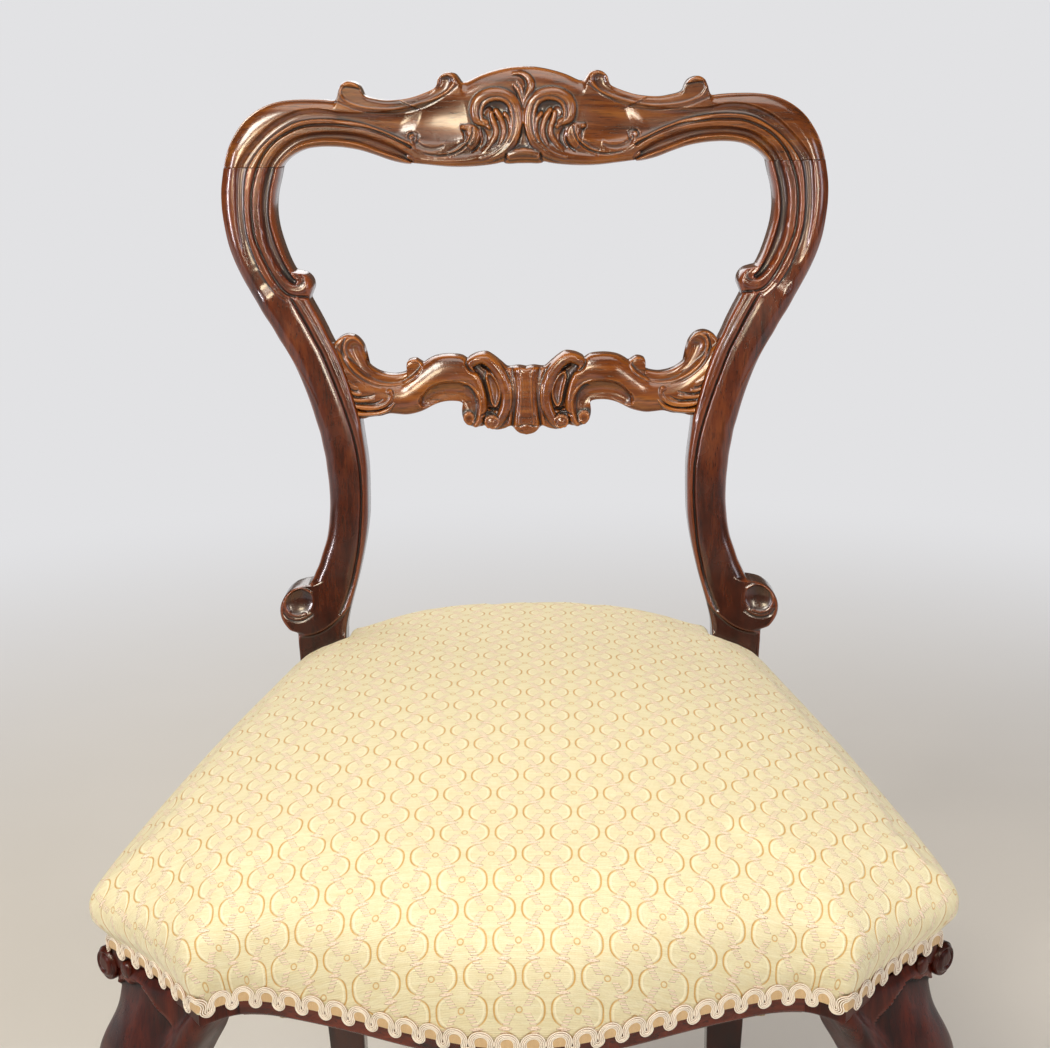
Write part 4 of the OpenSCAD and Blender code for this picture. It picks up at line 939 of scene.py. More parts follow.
    # The sprig's leaves stand on their own level, so they go in by their own heights
    single.h[:] = -50
    single.tube(shifted(1.9, 845.2, 3.8, 852.3, 6.6, 857, 7.7, 861.8, 5.5, 866.6, 1, 869.5, -5.7, 869.6),
        [1.0, 2.0, 2.8, 3.0, 2.6, 1.8, 0.8], [2.0, 2.8, 3.0, 3.0, 2.7, 2.0, 1.0], 0.0)
    single.tube(shifted(1.9, 845.8, 0.2, 853.2, -1.8, 857.6, -5.1, 861.3), [0.9, 1.6, 1.7, 0.8], [1.8, 2.2, 2.2, 1.0],
        0.0)
    single.tube(shifted(2.2, 848.6, 1.3, 855.8, 0, 860.2, -2.2, 863.3), [0.8, 1.3, 1.2, 0.6], [1.8, 2.2, 2.0, 0.8],
        0.0)
    r.h = np.maximum(r.h, single.h)
    marks = Relief(x, r.z)
    marks.groove(shifted(-5.7, 868.2, -1, 868.2, 2.8, 865.2, 3.8, 860.8, 2.6, 857.4), [0.6, 1.3, 1.5, 1.1, .5],
        [1.0, 2.0, 2.2, 1.6, .6])
    marks.groove(shifted(-5.9, 860.6, -3.4, 856.8, -1.6, 852.2), [0.5, 1.1, 0.5], 1.5)
    marks.groove(shifted(-0.2, 858.4, 0.9, 852.4), 0.5, 0.9)
    r.h += marks.h
    r.tube([0, 812.2, 5.6, 811.8, 9.6, 810.9], [3.9, 3.8, 3.3], [3.3, 3.2, 2.7], 0.0, 0.35)
    r.groove([0, 810.4, 4.6, 810.2, 9.4, 809.4], [2.0, 1.9, 1.2], [1.7, 1.5, 0.8], 0.7)
    r.groove([14.6, 805, 13.2, 808.4, 12.8, 812.6], [1.4, 1.3, 0.7], 2.0)


crest_top = drawn(
    223.3, 805.1, 222.4, 810, 219.8, 819, 215.4, 828, 209.2, 836.9, 201.4, 843.8, 193, 848.6, 183.8, 851.7,
    173.1, 853.1, 160.7, 853.3, 149.9, 852.9, 142.6, 852.2, 140, 852.6, 138.3, 855.4, 137.2, 859.4, 135.1, 863.5,
    131.2, 865.9, 127.3, 865.8, 123, 863.6, 120.6, 860, 119.2, 856.6, 116.4, 854.5, 109.7, 852.9, 101.9, 851.8,
    92.6, 852.2, 83.2, 853.7, 75.4, 856.1, 68.9, 858.6, 65.4, 860.6, 64, 863.4, 63, 866.9, 59.6, 870.2, 54.9, 871.4,
    50.3, 870.1, 47.6, 866.9, 45.6, 864.3, 42.6, 864.3, 40.2, 865.1, 31.6, 869, 20.6, 872.3, 9.7, 874.4, 0, 874.9,
    steps=8)
crest_low = drawn(
    180.2, 805.1, 178.6, 807.4, 173.9, 811.6, 167.6, 815.3, 159.9, 817.8, 150.6, 818.8, 139.7, 818.6, 130.5, 817.5,
    121.2, 815.6, 110.3, 812.1, 99.5, 808.2, 90.2, 805.9, 84.6, 805.3, 83.6, 806.3, 81, 805.9, 68.4, 804.4,
    55.9, 803.1, 43.4, 802.8, 30.8, 803.5, 21.4, 804.6, 15.4, 805.8, 13.6, 804.9, 10, 804.5, 4.6, 804.8, 0, 804.8,
    steps=8)
crest_ties = [
    223.3, 805.1, 180.2, 805.1, 206, 840.2, 169, 814.6, 192, 849, 161, 817.5, 176, 852.8, 153.5, 818.7, 158, 853.2,
    145, 818.8, 142.6, 852.2, 138.5, 818.5, 129.3, 866, 128, 817, 116.4, 854.5, 116.5, 814.2, 100, 851.9, 100, 808.3,
    84.6, 853.4, 84.6, 805.3, 65.4, 860.6, 66, 804.2, 54.9, 871.4, 54.5, 803, 42.6, 864.3, 43, 802.8, 31.6, 869,
    31.6, 803.5, 20.6, 872.3, 20.6, 804.7, 9.7, 874.4, 9.7, 804.5, 0, 874.9, 0, 804.8]


def rungs(outer, inner, ties, spacing):
    """Matching places along the outer and the inner edge. Each tie is outer x, z and inner x, z."""
    ties = np.reshape(ties, (-1, 2, 2))
    run_o, run_i = run_of(outer), run_of(inner)
    at_o = [run_o[np.argmin(np.linalg.norm(outer - a, axis=1))] for a, b in ties]
    at_i = [run_i[np.argmin(np.linalg.norm(inner - b, axis=1))] for a, b in ties]
    count = int(abs(at_o[-1] - at_o[0]) / spacing) + 1
    t = np.linspace(at_o[0], at_o[-1], count)
    u = np.interp(t, at_o, at_i)
    soft = np.ones(9) / 9
    u[4:-4] = np.convolve(u, soft, "valid")
    o = np.stack([np.interp(t, run_o, outer[:, k]) for k in range(2)], 1)
    i = np.stack([np.interp(u, run_i, inner[:, k]) for k in range(2)], 1)
    return o, i


def fall(t):
    """From one at an edge to nothing, along a quarter of a circle."""
    return 1 - np.sqrt(np.clip(1 - np.clip(1 - t, 0, 1) ** 2, 0, 1))


def marks(depth, rounds=7):
    """Painted shade in the hollows, where the polish also gathers, and where the ridges and edges are lighter."""
    near, wide = blurred(depth, rounds), blurred(depth, 45)
    hollow = np.maximum(np.clip((depth - near - 0.05) / 0.5, 0, 1), 0.75 * np.clip((depth - wide - 0.3) / 1.8, 0, 1))
    return hollow, np.clip((near - depth - 0.10) / 0.7, 0, 1)


def blurred(a, rounds):
    a = a.copy()
    for _ in range(rounds):
        a[1:-1] = (a[:-2] + a[2:] + 2 * a[1:-1]) / 4
        a[:, 1:-1] = (a[:, :-2] + a[:, 2:] + 2 * a[:, 1:-1]) / 4
    return a


back_edge = 4.0


def framed(outer, inner, front_shares, round_out, drop_out, round_in, drop_in, carve, thick=26.0):
    """Rings of a carved member: a carved front and a plain rounded back. Returns points and two layers."""
    o, i = outer[:, None], inner[:, None]
    t = np.asarray(front_shares)[None, :, None]
    flat = i + (o - i) * t
    width = np.linalg.norm(outer - inner, axis=1)[:, None]
    from_out = (1 - t[..., 0]) * width
    from_in = t[..., 0] * width
    ro, do, ri, di = (np.asarray(v, float).reshape(-1, 1) for v in (round_out, drop_out, round_in, drop_in))
    base = do * fall(from_out / ro) + di * fall(from_in / ri)
    relief = carve(flat[..., 0], flat[..., 1])
    keep = ease(from_out / 1.2) * ease(from_in / 1.2)
    depth = np.maximum(base - relief * keep, -4.5)
    # Painted shade in the hollows, and the lighter ridges
    hollow, pale_ridges = marks(depth)
    x, z = flat[..., 0], flat[..., 1]
    rings = [np.stack([x, back_y(x, z) + depth, z], -1)]

    def station(share, deep):
        f = inner + (outer - inner) * np.reshape(share, (-1, 1))
        rings.append(np.stack([f[:, 0], back_y(f[:, 0], f[:, 1]) + deep, f[:, 1]], -1)[:, None])

    edge = back_edge / width[:, 0]
    for s in (.3, .65, 1):
        station(1.0, mix(depth[:, -1], thick - back_edge, s))
    turn = [math.radians(a) for a in (30, 60, 90)]
    for a in turn:
        station(1 - edge * (1 - math.cos(a)), thick - back_edge + back_edge * math.sin(a))
    for s in (.8, .6, .4, .2):
        station(mix(edge, 1 - edge, s), thick)
    for a in turn[::-1]:
        station(edge * (1 - math.cos(a)), thick - back_edge + back_edge * math.sin(a))
    for s in (0, .35, .7):
        station(0.0, mix(thick - back_edge, depth[:, 0], s))
    extra = np.zeros((len(outer), len(rings) - 1))
    return (np.concatenate(rings, 1), *(np.concatenate([layer, extra], 1) for layer in (hollow, pale_ridges)))


def carved(obj, hollow, pale_ridges, look, node):
    face_outward(obj.data)
    point_layer(obj, "hollow_shade", hollow)
    point_layer(obj, "pale_ridges", pale_ridges)
    return declare(obj, look, "rosewood", node)


def shell(name, points, hollow, pale_ridges, look, node):
    """A closed skin over rings of points, capped at both ends."""
    m, n = points.shape[:2]
    faces = grid_faces(m, n, wrap_n=True)
    faces += [list(range(n - 1, -1, -1)), [(m - 1) * n + k for k in range(n)]]
    obj = new_object(name, points, faces)
    for end in obj.data.polygons[-2:]:
        end.use_smooth = False
    return carved(obj, hollow, pale_ridges, look, node)


def mirrored(points):
    p = points.copy()
    p[..., 0] *= -1
    return p


def build_crest():
    outer, inner = rungs(crest_top, crest_low, crest_ties, 0.62)
    x = outer[:, 0]
    side = ease((x - 60) / 80)
    horn = np.clip(np.exp(-((x - 129) / 9) ** 4) + np.exp(-((x - 56) / 9) ** 4)
                   + 0.8 * ease((x - 60) / 8) * ease((126 - x) / 8), 0, 1)
    turn = np.interp(x, [138, 150, 175, 200, 212, 223.6], [6, 9.5, 12.5, 14.5, 13.5, 10.5])
    round_out = mix(mix(12.0, turn, side), 2.2, horn)
    drop_out = mix(mix(9.0, 10.0, side), 3.0, horn)
    inner_side = ease((inner[:, 0] - 82) / 3)
    round_in = mix(4.5, 4.6, inner_side)
    drop_in = mix(5.5, 9.0, inner_side)
    shares = np.linspace(0, 1, 96)

    def carve(x, z, sign):
        r = Relief(x, z)
        carve_mouldings(r)
        carve_crest(r, sign)
        return r.heights()
    halves = [framed(outer, inner, shares, round_out, drop_out, round_in, drop_in,
                     lambda x, z, s=s: carve(x, z, s)) for s in (1, -1)]
    points, hollow, pale_ridges = (np.concatenate([right, left[::-1][1:]]) for right, left in
                            zip(halves[0], (mirrored(halves[1][0]), *halves[1][1:])))
    shell("crest_carved", points, hollow, pale_ridges, crest_wood, "crest_rail")


stile_out = drawn(
    174, 429, 174.3, 440, 175.2, 452, 176, 459, 180.8, 462.1, 185, 466.5, 188.1, 472.1, 189, 478.7, 187.2, 485.2,
    183, 490.8, 177.7, 494.4, 171.5, 495.8, 167.4, 495.6, 165, 499, 162.7, 504, 160, 509.7, 157.2, 518, 153.8, 528,
    152, 537, 151, 546, 150.4, 555, 150.5, 564, 151, 573, 152, 582, 153, 591, 154.8, 600, 156.5, 609, 159.2, 618,
    161.8, 627, 164.7, 636, 168, 645, 171.6, 654, 175.8, 663, 180.7, 672, 185.7, 680, 190.7, 689, 196.5, 698,
    201.5, 707, 206.6, 716, 211.5, 725, 217, 737, 221.4, 750, 224.3, 765, 225.6, 777, 225.6, 790, 223.6, 804.9,
    steps=6)
stile_inn = drawn(
    139, 429, 139.6, 440, 139.8, 452, 139.2, 462, 137.6, 471, 135, 481, 132.4, 490, 129.6, 500, 127.2, 510,
    125.2, 519, 123.4, 528, 122, 537, 121, 546, 120.7, 555, 120.6, 564, 120.6, 573, 120.8, 582, 121.6, 591,
    122.8, 600, 124, 609, 125.2, 618, 127.5, 627, 130, 636, 132.5, 645, 135.5, 654, 139, 663, 143, 672, 147, 680,
    151.2, 689, 155.8, 698, 159.6, 705, 161.4, 709, 160.2, 712.4, 158.6, 717.4, 160, 722.9, 163.6, 726.6,
    168.3, 728.2, 171.8, 729, 173.6, 731.4, 176.9, 738.3, 180.9, 749.3, 184.2, 761.3, 185.6, 773.4, 184.7, 785.3,
    182.2, 796.1, 180.4, 804.9, steps=6)
stile_ties = [
    174, 429, 139, 429, 175.2, 452, 139.8, 452, 180.8, 462.1, 139, 463, 189, 478.7, 135.4, 479, 180.5, 492.8,
    131.6, 492, 167.4, 495.6, 130, 498, 157.2, 518, 125.2, 519, 150.4, 555, 120.7, 555, 152, 582, 120.8, 582,
    156.5, 609, 124, 609, 164.7, 636, 130, 636, 175.8, 663, 139.6, 664, 190.7, 689, 151.6, 690, 201.5, 707,
    160.8, 707.5, 208, 718.5, 159, 716, 213, 728, 163.6, 726.6, 216, 735, 171.8, 729, 219.4, 743, 178, 741,
    224.3, 765, 184.6, 763, 225.6, 790, 184, 790, 223.6, 804.9, 180.4, 804.9]


def carve_stile(r):
    carve_mouldings(r)
    # The long hollow beside the inner bead
    r.groove(stile_groove, 5.5, np.interp(np.linspace(0, 1, 20), [0, .06, .8, 1], [0.4, 1.5, 1.5, 0.4]), 1.4)
    r.groove(stile_groove, 1.3, [1.6, 1.8, 1.8, 1.8, 1.6, 1.2])
    step = np.gradient(stile_groove, axis=0)
    across = unit(np.stack([step[:, 1], -step[:, 0]], 1))
    inward = np.where(across[:, :1] > 0, -across, across)
    bead = stile_groove + inward * 3.2
    r.tube(bead[2:], [2.0, 2.6, 2.5, 2.3, 2.2, 2.0, 1.6], [1.6, 1.9, 1.5, 1.3, 1.2, 1.0, 0.6], -0.9, 0.45)
    # Fine edge on the outer curve
    r.tube([181.9, 674.7, 176.2, 666.9, 168.6, 655.2, 161.9, 642.6, 156.3, 629.9, 151.4, 614], 1.0,
        [0.2, 0.5, 0.5, 0.4, 0.3, 0.1])
    # The ear: a dished disc with a double rim, and the plain post under it
    r.disc(174.4, 484.6, 10.6, 10.2, -2.6, 0, 0.8)
    ring = drawn(
        165.2, 491.4, 171.2, 494.4, 177.2, 493.4, 182.4, 490, 184.9, 485, 184.2, 479.6, 180.8, 475.6, 175.4, 474.2,
        169.6, 475.6)
    r.tube(ring, 0.9, 0.8)
    r.groove([186.2, 476.4, 182.4, 471.6, 176.3, 469.9, 170.2, 470.9, 164.2, 474.6], 0.9, 1.0)
    r.tube([185, 477.6, 181.8, 473.4, 176.2, 471.7, 170.8, 472.6, 165.6, 475.6], 0.8, 0.5)
    arc = drawn(178, 458.4, 172, 458.6, 166.5, 459.1, 159.2, 461.1, 152.6, 464.5, 146, 469.5, 140, 475.1, 135, 481.5)
    low = np.interp(r.x, arc[::-1, 0], arc[::-1, 1])
    r.h -= 1.5 * ease((low - r.z) / 0.9)
    r.groove(arc, 0.9, 0.9)


# The rear leg's rows: height, splay, inset, width and depth, as shares of these four
leg_rise, leg_splay, post_w, post_d = 365.0, 50, 35, 30
rear_leg = [[0, 1, .12, .74, .8], [.15, .77, .1, .78, .83], [.32, .5, .07, .84, .87],
            [.5, .27, .04, .9, .92], [.7, .09, .01, .96, .97], [.87, .01, 0, 1, 1], [1, 0, 0, 1, 1]]


def build_stiles():
    outer, inner = rungs(stile_out, stile_inn, stile_ties, 0.75)
    z = outer[:, 1]
    upper = ease((z - 706) / 26)
    post = 1 - ease((z - 457) / 5)
    ear = ease((z - 459) / 5) * (1 - ease((z - 494) / 5))
    round_out = mix(mix(mix(12.0, 10.5, upper), 2.0, ear), 2.2, post)
    drop_out = mix(mix(10.0, 2.4, ear), 2.0, post)
    round_in = mix(mix(4.2, 4.6, upper), 2.2, post)
    drop_in = mix(mix(4.0, 9.0, upper), 2.0, post)
    shares = np.linspace(0, 1, 60)

    def carve(x, z):
        r = Relief(x, z)
        carve_stile(r)
        return r.heights()
    thick = 26.0 + 4.0 * post
    points, hollow, pale_ridges = framed(outer, inner, shares, round_out, drop_out, round_in, drop_in, carve,
                                  thick=thick)
    # The rear leg below, with the same number of points round it
    n = points.shape[1]
    first_ring = points[0]
    shares_x = (first_ring[:, 0] - first_ring[:, 0].min()) / np.ptp(first_ring[:, 0])
    shares_y = (first_ring[:, 1] - rear_y) / (first_ring[:, 1].max() - rear_y)
    legs = []
    for s, splay, inset, w, d in smooth_rows(rear_leg, 5):
        level = max(2.0, s * leg_rise)
        x_out = rear_out - inset * post_w
        x_in = x_out - w * post_w
        legs.append(np.stack([mix(x_in, x_out, shares_x), rear_y + splay * leg_splay + shares_y * d * post_d,
                              np.full(n, level)], 1))
    for level in np.linspace(leg_rise, straight_top_z - 1, 8)[1:]:
        legs.append(np.stack([mix(rear_in, rear_out, shares_x), rear_y + shares_y * post_d, np.full(n, level)], 1))
    extra = np.zeros((len(legs), n))
    points = np.concatenate([legs, points])
    hollow, pale_ridges = (np.concatenate([extra, layer]) for layer in (hollow, pale_ridges))
    for name, node, p in (("stile_carved_right", "stile_right", points),
                          ("stile_carved_left", "stile_left", mirrored(points))):
        shell(name, p, hollow, pale_ridges, stile_wood, node)


# The middle rail

mid_top = drawn(
    144.8, 674.6, 141.6, 678.4, 137.1, 680.9, 132.6, 681.4, 127.4, 679.6, 123.1, 674.7, 121.3, 669, 122.2, 663.9,
    118.2, 658.3, 113, 654.5, 107.1, 652.2, 100.4, 651.1, 94.4, 651.7, 90.6, 653, 89.2, 655, 90.3, 657.7, 89.6, 660.6,
    86.7, 662.2, 83, 662.4, 79.9, 660.6, 77.4, 659.4, 74.6, 661.1, 69.5, 663.6, 62.7, 664.9, 55.2, 665, 48.5, 664,
    44.4, 661.6, 43.6, 662.4, 41.4, 663.9, 36.7, 665.8, 29.8, 666.4, 24.6, 663.7, 18.7, 659, 15.3, 656, 12.7, 655.1,
    5.8, 655.9, 0, 655, steps=8)
mid_low = drawn(
    127.2, 619.4, 123.5, 618.7, 118.2, 620, 109.2, 620.8, 103.2, 622.6, 96.5, 622, 90.5, 621.5, 83.7, 622.5,
    77.7, 624.2, 71.6, 627.2, 66.3, 629.4, 60.3, 630.6, 53.5, 630.6, 49.3, 629.6, 48.2, 627.2, 49, 623, 48.2, 617.8,
    44.8, 613.4, 39.5, 611, 35, 611.4, 31.4, 611.7, 28, 609.9, 22.8, 608.7, 16.7, 609.7, 12.6, 611.4, 9.8, 610.1,
    5.5, 606.8, 0, 605.5, steps=8)
mid_ties = [
    144.8, 674.6, 127.2, 619.4, 137.1, 680.9, 121, 619.6, 127.4, 679.6, 114, 620.6, 121.3, 669, 110, 620.8,
    122.2, 663.9, 108.5, 621, 118.2, 658.3, 105.5, 622, 107.1, 652.2, 101, 622.5, 94.4, 651.7, 93.5, 621.6, 89.2, 655,
    89, 621.7, 89.6, 660.6, 86, 622.2, 83, 662.4, 82, 622.8, 77.4, 659.4, 77, 624.5, 69.5, 663.6, 70, 628,
    62.7, 664.9, 63, 630.3, 55.2, 665, 55, 630.6, 48.5, 664, 49.3, 629.6, 44.4, 661.6, 48.3, 627.2, 41.4, 663.9,
    48.2, 617.8, 36.7, 665.8, 39.5, 611, 29.8, 666.4, 31.4, 611.7, 24.6, 663.7, 25, 609, 18.7, 659, 18.7, 609.3,
    12.7, 655.1, 12.6, 611.4, 5.8, 655.9, 6, 607, 0, 655, 0, 605.5]
pod_line = drawn(
    29.6, 652.6, 25.7, 651.2, 21.8, 645.9, 19.3, 639.1, 19.9, 632.3, 21.9, 627.6, 24.3, 626.6, 26.6, 629.9, 27.6, 635,
    29.1, 641.8, 30.6, 648.2, 29.6, 652.6, steps=5)


def carve_mid(r):
    ground = -5.0
    r.h[:] = ground
    body = smooth_rows([(150, 664, 11), (144, 657, 12), (138, 652, 12.5), (130, 645, 12.5), (121, 638.5, 12),
                        (110, 634.5, 12), (98, 633, 12), (88, 634, 13), (78, 640, 14), (68, 647, 14.5),
                        (60, 652, 14), (50, 653, 12), (42, 650, 9), (37, 644, 6.2), (34.2, 636, 4.6),
                        (33.4, 627, 4.0), (35, 618.5, 3.4), (38.5, 613, 2.4)], 6)
    r.tube(body[:, :2], body[:, 2], [5.4, 5.6, 5.6, 5.8, 6.4, 6.6, 5.8, 5.0, 4.6, 4.2], ground, 0.62)
    # Scooped scrolls above and below, each with a fine rim
    r.trough([(128.6, 671.4, 8.4, 6.6), (126, 665, 7.6, 6.0), (121, 657, 6.6, 5.4), (113, 651.2, 5.8, 5.0),
        (104, 648.4, 5.4, 4.6), (95, 648.6, 5.4, 4.6), (88, 651.4, 5.6, 4.8), (84.4, 655.6, 5.8, 5.0),
        (85, 658.4, 5.4, 4.8)], 6, 0.9)
    rim = drawn(
        122.6, 673.4, 124.6, 676.6, 128.2, 678.9, 131.9, 679, 135.3, 676.5, 136.5, 671.9, 135.5, 666.7, 132.3, 660.8,
        127.9, 655.6, 122.1, 651, 115.4, 647.2, 109.5, 645.2, 102, 644.5, 94.5, 645.3, 87.7, 648.1, 81.7, 652.4,
        79, 656.8, 79.7, 659.7, 82.3, 661.4, 86, 661.4)
    r.tube(rim, 1.0, [0.6, 1.1, 1.3, 1.2, 1.1, 1.1, 1.1, 1.2, 1.2, 0.9])
    r.groove([136.2, 678.8, 138.7, 672.4, 137.7, 665.8, 134.3, 659.6, 129.5, 654, 123.2, 649, 116, 645, 109.5, 642.9],
        [1.0, 1.1, 1.0, 0.9, 0.7], [1.4, 1.6, 1.3, 1.0, 0.3])
    r.trough([(75, 632, 6.2, 5.0), (67.5, 636, 9.0, 6.2), (58, 637.4, 9.8, 6.6), (49, 635.8, 10.2, 6.6),
        (43.6, 630.4, 9.4, 6.0), (42.6, 623.6, 8.0, 5.4), (43.2, 618, 6.4, 4.6)], 7, 0.8)
    arch = drawn(
        79.8, 628, 79.6, 633.9, 77.1, 637.8, 72.9, 641.7, 67.6, 644.6, 60.8, 646, 53.3, 646.1, 46.5, 645, 41.1, 642.3,
        37.4, 637.8, 35.2, 632.4, 35.1, 624, 37.2, 615.6, 41, 613)
    r.tube(arch, 1.0, [0.7, 1.2, 1.2, 1.2, 1.2, 1.1, 0.8])
    r.disc(43.6, 618.2, 4.2, 5.0, -1.9, 0, 0.25, add=False)
    r.h = np.where(((r.x - 43.6) / 4.2) ** 2 + ((r.z - 618.2) / 5.0) ** 2 < 1,
                   np.maximum(r.h, -2.2), r.h)
    # Deep dark ground round the slot, then the loop and its knob
    r.hollow([36.5, 656.5, 31, 651, 27.5, 643, 25.6, 634, 25.4, 625, 27.5, 619.5], [3.8, 5.0, 5.4, 5.2, 4.4, 3.0],
        [6.0, 6.6, 6.8, 6.8, 6.4, 5.0], 0.4)
    r.groove([44.6, 663, 44.8, 658.4, 42, 654.6, 38, 652.2], [1.0, 1.5, 1.6, 1.4], [2.0, 3.0, 3.0, 2.0])
    loop = smooth_rows([(41.2, 659.6, 3.9, 4.6), (38, 661.8, 4.2, 5.2), (33, 662.6, 4.0, 5.4),
                        (27.6, 660.4, 4.3, 5.4), (22.4, 655, 4.6, 5.4), (17.8, 647.6, 4.6, 5.2),
                        (15.2, 640, 4.5, 5.0), (14.8, 631.6, 4.4, 4.8), (17, 622.6, 4.2, 4.4),
                        (21.4, 615.2, 3.6, 3.6), (24.6, 612, 2.6, 2.6)], 6)
    r.tube(loop[:, :2], loop[:, 2], loop[:, 3], ground)
    # A dished pod with a fine rim lies in the loop, dark cuts above and below it
    r.pad(pod_line[:-1:3], -1.4, 1.3, -5.2)
    odd = r.inside(pod_line)
    pick, gap, _, _ = r.near(pod_line, 8)
    far = np.full(r.x.size, 8.0)
    far[pick] = gap
    dish = -1.2 - 3.4 * np.sqrt(np.clip(1 - (1 - np.clip((far - 0.9) / 3.4, 0, 1)) ** 2, 0, 1))
    r.h = np.where(odd & (far > 0.9), dish, r.h)
    r.tube(pod_line, 0.8, 0.7)
    r.groove([33.4, 657, 30.6, 655.6, 27.4, 653.8], [1.2, 1.9, 1.2], [3.0, 4.5, 3.0])
    r.groove([28, 625.4, 25, 624, 22, 624.6], [1.2, 1.7, 1.0], [3.0, 4.0, 2.4])
    r.tube([29.5, 665, 24.8, 661.8, 19.8, 656.6, 15.4, 650.4], 1.0, [0.3, 0.9, 0.7, 0.2])
    r.disc(26.4, 615.4, 5.6, 5.0, 3.4 + ground, 0, 0.5, add=False)
    r.h = np.maximum(r.h, np.where(((r.x - 26.4) / 5.6) ** 2 + ((r.z - 615.2) / 5.2) ** 2 < 1,
                                   ground + 4.8 * np.sqrt(np.clip(1 - ((r.x - 26.4) / 5.6) ** 2
                                                                  - ((r.z - 615.2) / 5.2) ** 2, 0, 1)), -50))
    r.groove([33.6, 621, 30.4, 622.2, 26.1, 621.9, 21.8, 619], [0.8, 1.4, 1.4, 0.8], 2.2)
    r.groove([32.5, 611, 32, 614.5, 32.8, 618.5], 0.9, 1.8)
    # Reeded middle
    flat = ease((11 - r.x) / 3)
    r.h = mix(r.h, np.maximum(r.h, ground + 3.4), flat)
    r.tube([12.7, 655, 10.9, 643, 10.6, 631, 11.8, 619.5, 13.4, 612], 1.5, [1.0, 1.4, 1.5, 1.4, 0.9])
    r.groove([9.2, 656, 8.1, 643, 8.3, 630, 9.7, 618, 11, 611], 2.4, [1.4, 2.0, 2.2, 2.0, 1.2], 1.3)
    r.tube([5.8, 656, 4.3, 649, 4.0, 639, 4.5, 626, 5.4, 614], 0.8, 0.8)
    r.disc(0, 634, 5.2, 30, 1.1, 0, 0.6)
    r.groove([0, 613.9, 2.5, 613.5, 5.6, 612.2, 7.8, 612.6], [0.8, 0.9, 0.5], 0.9)
    # Leaves where the rail meets the stile
    leaves = [([146, 662, 140.5, 654.5, 135.5, 649, 131.6, 646, 127.6, 643.9], [2.4, 2.6, 2.2, 1.6, 0.7], 1.6),
              ([143, 652, 136.5, 644, 131, 640.2, 126.6, 638.4, 123.8, 638.8], [2.2, 2.4, 2.2, 1.7, 0.8], 1.7),
              ([140, 645, 134.5, 638, 128.5, 634.6, 121, 633.9, 114.4, 634.8], [2.2, 2.4, 2.2, 1.8, 0.9], 1.8),
              ([137, 638, 131, 631.5, 122, 628.4, 113, 628.2, 105.4, 630.6, 101.4, 635.6, 102, 640],
               [2.2, 2.4, 2.4, 2.3, 2.3, 2.2, 1.7], 2.0),
              ([134, 630, 127.5, 624.2, 119, 623.4, 110, 624.4, 103.4, 627, 99.2, 631.4],
               [2.0, 2.2, 2.2, 2.1, 1.8, 0.9], 1.8)]
    for path, w, top in leaves:
        r.tube(path, w, top + 2.6, -2.6)
    for path in ([141, 651, 134, 643.8, 129, 640.9, 125.6, 641.6],
                 [139, 644, 133, 637.9, 127, 635.9, 121.4, 636.4, 114, 638],
                 [136, 636, 130, 631.6, 122, 630.9, 114.4, 631.4, 108, 634.4],
                 [133, 630, 126, 626.2, 118, 625.6, 109, 626.6, 103, 630.4],
                 [130, 622.6, 122, 621.4, 112, 622.2, 103.6, 624.4]):
        r.groove(path, [0.8, 1.2, 1.2, 1.0, 0.5], [1.4, 2.2, 2.2, 1.8, 0.8])
    r.disc(103, 640, 2.1, 2.1, 1.2)


def slab(name, flat, front_deep, back_deep, look, node):
    """A carved board: its front and back over one grid, and walls round every edge."""
    m, n = flat.shape[:2]
    x, z = flat[..., 0], flat[..., 1]
    face = back_y(x, z) + 2
    shares = (0, .3, .7, 1)
    layers = [np.stack([x, face + mix(front_deep, back_deep, s), z], -1).reshape(-1, 3) for s in shares]
    size = m * n
    i, j = np.nonzero(np.ones((m - 1, n - 1), bool))
    quad = np.stack([i * n + j, i * n + j + 1, (i + 1) * n + j + 1, (i + 1) * n + j], 1)
    faces = [quad, quad[:, ::-1] + 3 * size]
    edges = np.concatenate([quad[:, [k, (k + 1) % 4]] for k in range(4)])
    key = np.sort(edges, 1) @ [size, 1]
    _, first, counts = np.unique(key, return_index=True, return_counts=True)
    rim = edges[first[counts == 1]]
    for k in range(3):
        faces.append(np.stack([rim[:, 0] + k * size, rim[:, 0] + (k + 1) * size, rim[:, 1] + (k + 1) * size,
                               rim[:, 1] + k * size], 1))
    faces = np.concatenate(faces)
    used, compact = np.unique(faces, return_inverse=True)
    points = np.concatenate(layers)[used]
    obj = new_object(name, points, compact.reshape(-1, 4).tolist())
    # Painted shade in the hollows, and the lighter ridges
    hollow, pale_ridges = (np.concatenate([m.ravel(), np.zeros(3 * size)])[used] for m in marks(front_deep, 6))
    return carved(obj, hollow, pale_ridges, look, node)


def build_mid():
    outer, inner = rungs(mid_top, mid_low, mid_ties, 0.6)
    t = np.linspace(0, 1, 84)[None, :, None]
    flat = inner[:, None] + (outer - inner)[:, None] * t
    limit = np.interp(flat[..., 1], stile_inn[:, 1], stile_inn[:, 0]) - 0.12
    flat[..., 0] = np.minimum(flat[..., 0], limit)
    flat[-1, :, 0] = 0
    r = Relief(flat[..., 0], flat[..., 1])
    carve_mid(r)
    width = np.linalg.norm(outer - inner, axis=1)[:, None]
    from_edge = np.minimum(t[..., 0], 1 - t[..., 0]) * width
    out_round = 3.0 * fall(from_edge / 3.4)
    front_deep = np.maximum(np.clip(-r.heights(), -1.6, 9) + out_round, -1.6)
    back_deep = 19.0 - 3.0 * fall(from_edge / 3.0)
    both = np.concatenate([flat, (flat * [-1, 1])[::-1][1:]])
    front, back = (np.concatenate([deep, deep[::-1][1:]]) for deep in (front_deep, back_deep))
    slab("mid_rail_carved", both, front, back, mid_wood, "mid_rail")


build_crest()
build_stiles()
build_mid()


# BRAID


